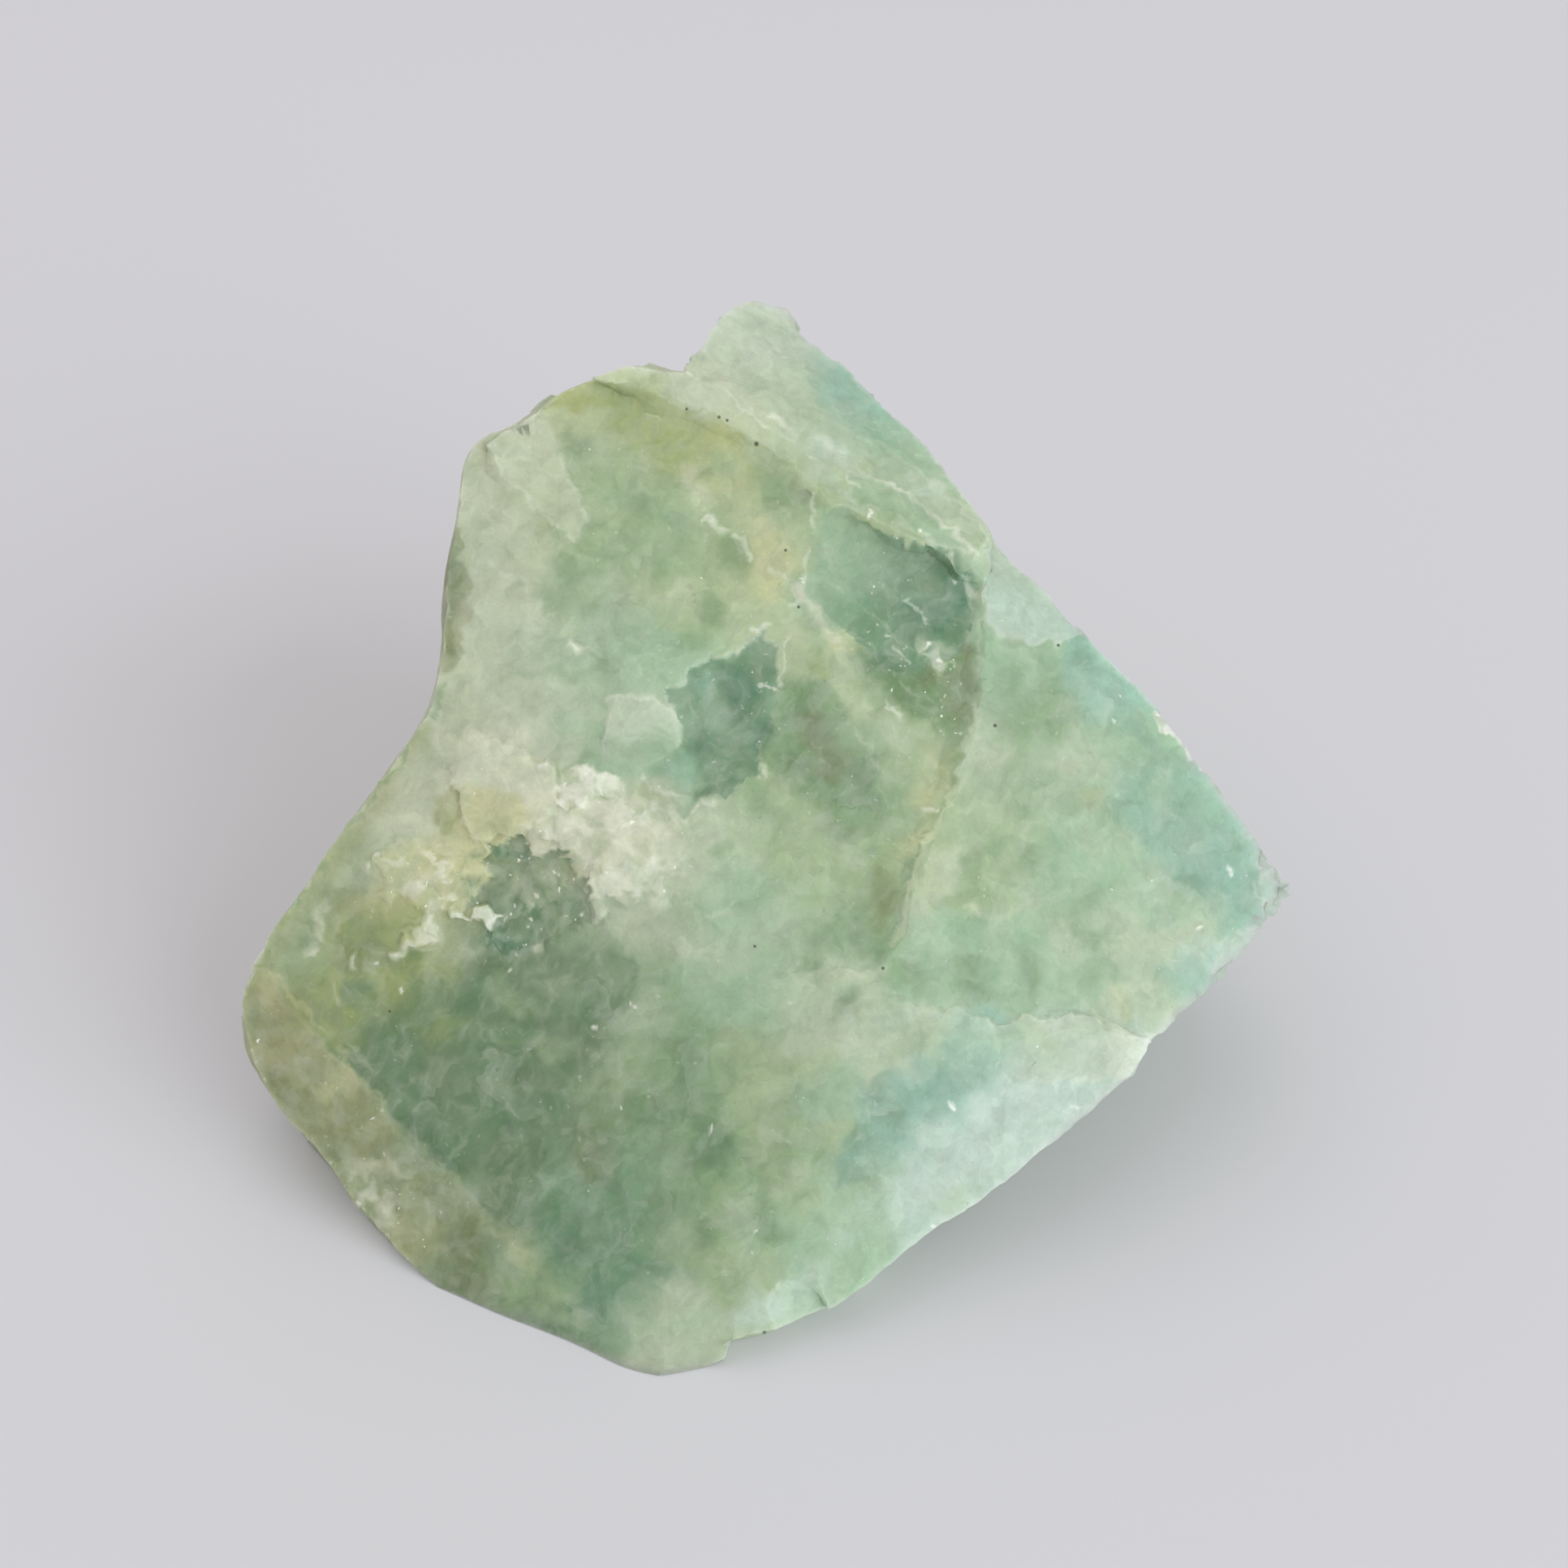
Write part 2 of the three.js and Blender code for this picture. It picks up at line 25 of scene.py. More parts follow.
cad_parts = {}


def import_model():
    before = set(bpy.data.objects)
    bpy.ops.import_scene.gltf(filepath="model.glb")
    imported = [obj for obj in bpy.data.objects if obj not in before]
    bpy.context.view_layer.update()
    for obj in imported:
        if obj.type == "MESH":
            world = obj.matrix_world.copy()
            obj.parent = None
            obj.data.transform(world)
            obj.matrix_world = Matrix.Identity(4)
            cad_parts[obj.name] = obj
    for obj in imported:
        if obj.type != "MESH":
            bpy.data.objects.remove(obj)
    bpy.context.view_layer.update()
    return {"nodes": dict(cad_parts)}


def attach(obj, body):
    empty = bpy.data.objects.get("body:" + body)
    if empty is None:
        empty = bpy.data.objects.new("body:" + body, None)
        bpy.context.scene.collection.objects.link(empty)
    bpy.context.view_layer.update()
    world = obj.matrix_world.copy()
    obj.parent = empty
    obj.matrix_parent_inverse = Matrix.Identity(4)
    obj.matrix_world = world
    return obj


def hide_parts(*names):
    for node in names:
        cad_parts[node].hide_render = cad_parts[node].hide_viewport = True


log = logging.getLogger("raw_aquamarine")

NODE = "aquamarine"
BODY = "root"
MM = 0.001
NOISE_SEED = 7  # starts the noise that the chips lean by
STREAK_SEED = 30.0  # the first streak's, and one more for each that follows

DARKEST, LIGHTEST = 0.02, 0.9  # limits of the stone's colours in linear light
FAINT = 0.02  # a share too small to matter
SEED_STEP = np.array([1.7, 3.1, 5.3])  # how far the next seed's field lies, in swells
SEED_START = np.array([0.0, 0.37, 0.71])

Mark = tuple[float, float]
SpotRow = tuple[float, float, float, float, float, float]


# ---- Colours -------------------------------------------------------------------------


class Tint(Enum):
    """The stone's colours as they look in full light, red, green and blue from 0 to 255."""

    FROST = (221, 225, 213)
    CREAM = (204, 208, 188)
    STRAW = (192, 194, 156)
    OLIVE = (171, 177, 132)
    MOSS = (158, 169, 118)
    KHAKI = (159, 162, 122)
    BARK = (154, 159, 128)
    PALE = (186, 194, 171)
    MILK = (187, 198, 181)
    MINT = (177, 191, 167)
    REED = (173, 187, 156)
    SAGE = (162, 179, 146)
    SEA = (158, 183, 156)
    AQUA = (153, 184, 168)
    ICE = (187, 203, 192)
    LEAF = (138, 163, 128)
    POOL = (117, 151, 122)
    FERN = (116, 140, 107)
    MOSSPOOL = (121, 148, 108)
    TEAL = (129, 162, 143)
    PEAT = (122, 132, 92)
    DEEP = (102, 134, 102)
    WELL = (86, 130, 104)
    # white of the painted glints
    GLINT_WHITE = (252, 252, 247)
    SOOT = (60, 66, 50)

    @property
    def linear(self) -> np.ndarray:
        """The colour in linear light, from 0 to 1."""
        part = np.array(self.value) / 255.0
        return np.where(part <= 0.04045, part / 12.92, ((part + 0.055) / 1.055) ** 2.4)


# ---- The frame of the broad front ----------------------------------------------------


@dataclass(frozen=True)
class FrontView:
    """The frame of the broad front, which leans back over the base.

    Attributes:
        elevation: Angle at which the front looks up, in degrees.
        origin: Where the front frame starts, in the upright frame, in millimetres.
        eye_distance: How far out the eye stands, in millimetres.
        half_width: Half of what the eye takes in at the origin, in millimetres.
    """

    elevation: float = 42.0
    origin: tuple[float, float, float] = (1.08, -1.48, 21.5)
    eye_distance: float = 133.0
    half_width: float = 48.3

    @property
    def axes(self) -> np.ndarray:
        """Rows are the directions across the front, up it and out of it.

        Returns:
            Three rows of unit length, in the upright frame.
        """
        s = math.sin(math.radians(self.elevation))
        c = math.cos(math.radians(self.elevation))
        return np.array([[1, 0, 0], [0, s, c], [0, -c, s]])

    def marks(self, points: np.ndarray) -> np.ndarray:
        """Front-frame marks of upright points.

        Args:
            points: Upright places in millimetres, one row each.

        Returns:
            Rows of a, b and w. The first two are where the eye sees the point at w = 0.
        """
        local = (points - np.array(self.origin)) @ self.axes.T
        draw = 1 - local[:, 2:] / self.eye_distance
        return np.hstack([local[:, :2] / draw, local[:, 2:]])


# ---- Fields: what varies over the surface --------------------------------------------


def smoothstep(value: np.ndarray, low: float, high: float) -> np.ndarray:
    """Runs smoothly from 0 at low to 1 at high, and the other way round if high < low."""
    t = np.clip((value - low) / (high - low), 0, 1)
    return t * t * (3 - 2 * t)


def ripple(points: np.ndarray, length: float, seed: float = 0.0) -> np.ndarray:
    """Smooth unevenness of about -1 to 1.

    Args:
        points: Places in millimetres, one row each, of two or three columns.
        length: Distance between swells in millimetres.
        seed: Picks one of many such fields.

    Returns:
        One value for each point.
    """
    if points.shape[1] == 2:
        points = np.hstack([points, np.zeros((len(points), 1))])
    moved = points / length + (seed * SEED_STEP + SEED_START)
    return 2 * np.array([noise.noise(place) for place in moved.tolist()])


def shards(points: np.ndarray, length: float, seed: float) -> np.ndarray:
    """Flat chips that lean every way, as on sugary broken crystal.

    Args:
        points: Places in millimetres, one row each.
        length: Width of a chip in millimetres.
        seed: Picks one of many such patterns.

    Returns:
        Height at each point, of about -1 to 1.
    """
    heights = []
    for place in map(Vector, (points / length + seed).tolist()):
        middle = noise.voronoi(place)[1][0]
        lean = noise.noise_vector(middle * 3.7)
        heights.append(noise.noise(middle * 5.3) + 1.4 * lean.dot(place - middle))
    return np.array(heights)


def drift(points: np.ndarray, length: float, seeds: Sequence[float]) -> np.ndarray:
    """Unevenness of about -1 to 1 in as many directions as there are seeds."""
    return np.stack([ripple(points, length, seed) for seed in seeds], axis=1)


def ragged(marks: np.ndarray, reach: float, length: float, seed: float) -> np.ndarray:
    """Marks shifted about, so that what is drawn by them gets an uneven edge."""
    return marks + reach * drift(marks, length, (seed, seed + 11))


def line_distance(marks: np.ndarray, line: Sequence[Mark], closed: bool) -> np.ndarray:
    """Distance of each mark from a broken line.

    Args:
        marks: Places as rows of a and b.
        line: Corners of the line.
        closed: Whether its last corner joins its first.

    Returns:
        One distance for each mark, in millimetres.
    """
    corners = np.array(line, float)
    ends = np.roll(corners, -1, axis=0) if closed else corners[1:]
    starts = corners if closed else corners[:-1]
    best = np.full(len(marks), 1e9)
    for start, end in zip(starts, ends):
        along = end - start
        offset = marks - start
        t = np.clip(offset @ along / (along @ along), 0, 1)
        gap = offset - t[:, None] * along
        best = np.minimum(best, np.einsum("ij,ij->i", gap, gap))
    return np.sqrt(best)


def inside(marks: np.ndarray, outline: Sequence[Mark]) -> np.ndarray:
    """Whether each mark lies inside an outline.

    Args:
        marks: Places as rows of a and b.
        outline: Corners of the outline.

    Returns:
        True or False for each mark.
    """
    corners = np.array(outline, float)
    a, b = marks[:, 0], marks[:, 1]
    within = np.zeros(len(marks), bool)
    for (a1, b1), (a2, b2) in zip(corners, np.roll(corners, -1, axis=0)):
        spans = (b1 > b) != (b2 > b)
        if b1 != b2:
            within ^= spans & (a < (a2 - a1) * (b - b1) / (b2 - b1) + a1)
    return within


def depth_inside(marks: np.ndarray, outline: Sequence[Mark]) -> np.ndarray:
    """Distance from an outline, positive inside it."""
    gap = line_distance(marks, outline, closed=True)
    return np.where(inside(marks, outline), gap, -gap)


# ---- What is painted on the front ----------------------------------------------------

SPOT_EDGE = 1.45  # a small spot ends this many half lengths out
SPOT_CORE = 0.35  # and is whole up to here


@dataclass(frozen=True)
class Spot:
    """A soft oval of colour: a wide cloud inside the stone, or a small spot on it.

    Attributes:
        tint: Its colour.
        a: Its middle on the front, across.
        b: Its middle on the front, up.
        length: Its half length in millimetres.
        width: Its half width in millimetres.
        turn: Angle of its length from the front's a axis, in degrees.
        strength: A cloud's weight against its neighbours, or how much a small spot hides.
    """

    tint: Tint
    a: float
    b: float
    length: float
    width: float
    turn: float
    strength: float

    def offsets(self, marks: np.ndarray) -> tuple[np.ndarray, np.ndarray]:
        """How far each mark lies along the spot and aside, in half lengths and half widths.

        Args:
            marks: Places as rows of a and b.

        Returns:
            The two distances for each mark.
        """
        turn = math.radians(self.turn)
        across, up = (marks - np.array([self.a, self.b])).T
        along = (across * math.cos(turn) + up * math.sin(turn)) / self.length
        aside = (up * math.cos(turn) - across * math.sin(turn)) / self.width
        return along, aside

    def pull(self, marks: np.ndarray) -> np.ndarray:
        """How strongly a cloud colours each mark."""
        along, aside = self.offsets(marks)
        return self.strength * np.exp(-(along**2) - aside**2)

    def share(self, marks: np.ndarray) -> np.ndarray:
        """How strongly a small spot shows at each mark, from 0 to 1."""
        return self.strength * smoothstep(np.hypot(*self.offsets(marks)), SPOT_EDGE, SPOT_CORE)


def spots(table: Sequence[tuple[Tint, Sequence[SpotRow]]]) -> tuple[Spot, ...]:
    """Spots from rows of a, b, half length, half width, turn and strength under each tint."""
    return tuple(Spot(tint, *row) for tint, rows in table for row in rows)


@dataclass(frozen=True)
class Patch:
    """A flake, hollow or face whose colour ends at a crisp, ragged edge.

    Attributes:
        outline: Its edge on the front.
        tint: Its colour.
        cover: How much of the colour under it it hides, from 0 to 1.
        soft: Width of its edge in millimetres.
        fade: Two marks. The patch is whole at the first and gone at the second.
        rim: How white the thin line along its edge is, from 0 to 1.
        frost: How grainy it is.
        sparkle: How many bright flecks, painted glints, it holds.
        step: How far it stands out, in millimetres.
        jag: How far its edge strays in and out, in millimetres.
        tear: How much of the stone's own raggedness its edge follows, from 0 to 1.
    """

    outline: Sequence[Mark]
    tint: Tint
    cover: float = 0.8
    soft: float = 0.25
    fade: tuple[Mark, Mark] | None = None
    rim: float = 0.0
    frost: float = 0.0
    sparkle: float = 0.0
    step: float = 0.0
    jag: float = 0.0
    tear: float = 1.0

    def fading(self, marks: np.ndarray) -> np.ndarray:
        """How whole the patch is at each mark, from 0 to 1.

        Args:
            marks: Places as rows of a and b.

        Returns:
            One share for each mark.
        """
        if self.fade is None:
            return np.ones(len(marks))
        start, end = (np.array(mark) for mark in self.fade)
        along = end - start
        return 1 - smoothstep((marks - start) @ along / (along @ along), 0, 1)


@dataclass(frozen=True)
class Streak:
    """A crack, a healed vein or a band of colour that runs along a line, painted shade and painted
    glints among them.

    Attributes:
        line: Its course on the front.
        tint: Its colour.
        width: Half width in millimetres.
        cover: How much of the colour under it it hides, from 0 to 1.
        broken: How much of it is missing, from 0 to 1.
    """

    line: Sequence[Mark]
    tint: Tint
    width: float = 0.12
    cover: float = 0.8
    broken: float = 0.3

    def strength(self, marks: np.ndarray, seed: float) -> np.ndarray:
        """How strongly the streak shows at each mark, from 0 to 1.

        Args:
            marks: Places as rows of a and b.
            seed: Picks where the streak is missing.

        Returns:
            One share for each mark.
        """
        gap = line_distance(marks, self.line, closed=False)
        core = smoothstep(gap, 1.15 * self.width, 0.4 * self.width)
        missing = 2 * self.broken - 1
        whole = smoothstep(ripple(marks, 1.6, seed), missing - 0.25, missing + 0.25)
        return self.cover * core * whole


# where the front ends, as the eye sees it
OUTLINE = (
    (-5.4, 26.3), (-4.3, 28.1), (-1.8, 30), (0.1, 30.2), (2, 29.5), (3.2, 28.2), (6.2, 24.3),
    (9.2, 20.3), (12.4, 16.3), (13.3, 14.3), (16.2, 11.6), (19, 8.7), (23.7, 3.8), (28.2, -1.7),
    (31.5, -6), (31.1, -7.6), (29.3, -10.5), (25.4, -13.4), (22.3, -15.6), (21.1, -18), (18.7, -20.4),
    (14.7, -23.7), (11.7, -26), (8.2, -28.2), (6.2, -30), (1.7, -32.7), (-1.3, -33.9), (-3.6, -35.3),
    (-7.3, -36.2), (-12.3, -35), (-18.3, -32.6), (-23.8, -28.7), (-27.6, -24.3), (-31.8, -19.2),
    (-33.4, -14.2), (-33.2, -12.4), (-30.8, -8), (-26.3, -1.8), (-22.3, 3.6), (-20.9, 8), (-20.6, 13.8),
    (-19.4, 20.3), (-17.3, 21.8), (-13.8, 24), (-11, 25.2), (-8.2, 25.8), (-5.9, 25.2),
)

# ledges that stay high
LEDGES = (
    ((-9.3, 24.4), (-4, 22.5), (0.5, 19.2), (3.7, 16.8), (7.7, 14.6), (9.7, 14.8),
     (10.9, 11.9)),
    ((11.8, 12.2), (12.3, 8.8), (11.7, 5), (10.7, 2.4), (9.6, -2), (8, -5),
     (6.5, -9.7), (6.1, -11.5)),
    ((6.3, -12.6), (8.2, -13.6), (12.8, -14.7), (17.2, -14.4), (20.2, -14.8), (24, -16.4)),
    ((3.7, -11.2), (1.7, -11.4), (-0.6, -12.2)),
)

# wide clouds inside the stone, which mix where they meet
CLOUDS = spots((
    (Tint.MILK, ((-2, 28, 4.5, 3, 0, 1),)),
    (Tint.AQUA, (
        (4.8, 24, 3.6, 2.2, -50, 1), (8.6, -19.4, 4.2, 2, 35, 0.95), (4.2, -23.4, 2.4, 1.4, 55, 0.7),
        (12.6, -16.6, 3.4, 1.2, 5, 0.7), (20.6, 5.8, 2.6, 1.8, -48, 1),
        (24.6, -1.8, 3.4, 2.6, -45, 1.1), (27.6, -5.4, 2.6, 2.2, -45, 1.2),
        (26.2, -11.4, 2.6, 1.6, 25, 1),
    )),
    (Tint.SEA, (
        (7.5, 20, 3, 1.8, -50, 1), (-10.5, 8.2, 3.2, 2, 0, 1), (2.6, 13.6, 2.2, 2.2, 0, 1),
        (-10.3, 1.8, 2.6, 1.4, 0, 1), (-2.2, -8, 3.4, 2.6, 0, 1), (-3.2, -12.2, 3.4, 2.2, 0, 1),
        (2.6, -29, 3.6, 2.6, 30, 1), (13.2, 7.4, 2.2, 3, 0, 1), (22, 2.2, 2.6, 2.4, -45, 1),
        (18.2, -4.6, 3.6, 2.6, 0, 1), (11.6, -10.6, 3.6, 2.4, 0, 1), (16.6, -11.6, 3.6, 1.8, 0, 1),
    )),
    (Tint.MINT, (
        (0, 23.5, 5, 1.6, -40, 1), (9.5, 17.2, 4, 1.3, -42, 1), (-14, 8, 4.5, 2.6, 0, 1),
        (-5.6, -4.4, 3.6, 2.4, 0, 1), (-8, -9.6, 4, 2, 20, 1), (1.2, -12.4, 3, 1.8, 0, 1),
        (-6.4, -33.6, 4.4, 1.8, 0, 1.4), (6, -15.4, 3.4, 1.4, 0, 1), (12.2, 1.2, 1.6, 4.6, 10, 1),
        (17.2, 0.6, 3.2, 2.2, 0, 1), (21.6, -8.8, 3.6, 2.2, 15, 1.1), (22.4, -13.8, 2.6, 1.6, 0, 1),
    )),
    (Tint.PALE, (
        (-5, 24.2, 4.5, 1.2, -30, 1), (-16.5, 20.8, 2.6, 2, 30, 1), (-9.5, 25, 2, 0.8, 10, 1),
        (-17.3, 15, 3.2, 4, 0, 1), (-18.2, 7.8, 3, 3.6, 0, 1), (-21.8, 0.6, 1.8, 3, 55, 1),
        (-24.2, -1.6, 2.6, 1.2, 55, 1),
    )),
    (Tint.REED, (
        (2.5, 18.8, 4.5, 1.3, -38, 1), (-4, 11, 2, 1.6, 0, 0.7), (0.8, 8, 1, 2.2, 15, 1),
        (3.2, 7.6, 1.2, 3.6, 25, 0.7), (-26.6, -5.4, 3, 1.6, 50, 1),
    )),
    (Tint.OLIVE, ((-10.8, 24, 3.2, 1.2, 20, 1),)),
    (Tint.MOSS, (
        (-8, 22, 4.6, 1.7, -28, 1.3), (-25.5, -9.6, 2.8, 1.8, 15, 1.3), (-28.3, -13, 2.4, 2.4, 0, 1),
        (-23, -12.8, 3.4, 2.6, -20, 0.8),
    )),
    (Tint.STRAW, (
        (-3.8, 18.9, 3.6, 1.4, -48, 1.2), (-1.2, 14, 1.8, 2.6, -60, 0.7), (-18, -2, 2.2, 1.6, 0, 1),
        (-22.8, -6.2, 2.6, 1.8, 20, 1),
    )),
    (Tint.SAGE, (
        (-12.5, 17.8, 3, 2.6, 0, 1), (-9.5, 15.5, 3.6, 3, 0, 1.2), (-6, 13.5, 3, 3, 0, 1),
        (-1.8, 17, 2.2, 3.4, -50, 1), (8, 1.8, 2, 3.4, 15, 1), (6, -4.8, 1.8, 3, 15, 1),
        (0.6, -5, 2.4, 3.4, 0, 1), (-29.5, -10.8, 2.2, 2.2, 0, 1), (-1.6, -18.8, 2.2, 3.4, -15, 0.8),
        (2, -22, 2.6, 4.6, 20, 1), (-1.6, -31.4, 2, 2.4, 0, 1), (13.2, -4.4, 3, 2.8, 0, 1),
    )),
    (Tint.LEAF, (
        (-12, 11.8, 2.6, 1.6, 10, 0.5), (4.8, 0.2, 1.6, 3, 10, 1.1), (4.5, -8.8, 1.8, 1.8, 0, 0.8),
        (-8, -16.4, 3.4, 3.4, 0, 1), (-5.4, -22.6, 3, 5, 10, 1), (-14.8, -31.6, 2.6, 1.4, -30, 1),
        (15.6, 2.4, 3.6, 2.4, 40, 0.55), (19, -7, 2.2, 1.6, 0, 0.4),
    )),
    (Tint.MOSSPOOL, ((1.8, 2.4, 1.6, 3, 15, 1.1), (8.4, 6.8, 2.6, 2.2, 0, 1.1))),
    (Tint.CREAM, ((-17.2, 1.6, 2.6, 1.8, 0, 1), (-11.2, -2.8, 3.2, 2.2, 0, 1))),
    (Tint.KHAKI, ((-31.8, -13.8, 1.6, 2.8, 0, 1),)),
    (Tint.FERN, (
        (-22.3, -18, 4.6, 4, 0, 1.2), (-17, -15.6, 4.2, 3.6, 0, 1.2),
        (-17.5, -22.5, 4.6, 3.8, -30, 1.3), (-12.6, -19, 3.6, 3.2, 0, 1), (-13, -12.6, 3.4, 2.6, 0, 1),
    )),
    (Tint.POOL, ((-11.6, -26, 3.8, 4.4, -20, 1.1), (-11.4, -31.6, 2.8, 2.4, 0, 1.2))),
    (Tint.ICE, ((17.6, -17.2, 4.6, 2.2, 25, 1.2), (9.8, -24.6, 5, 2.4, 38, 1.2))),
))

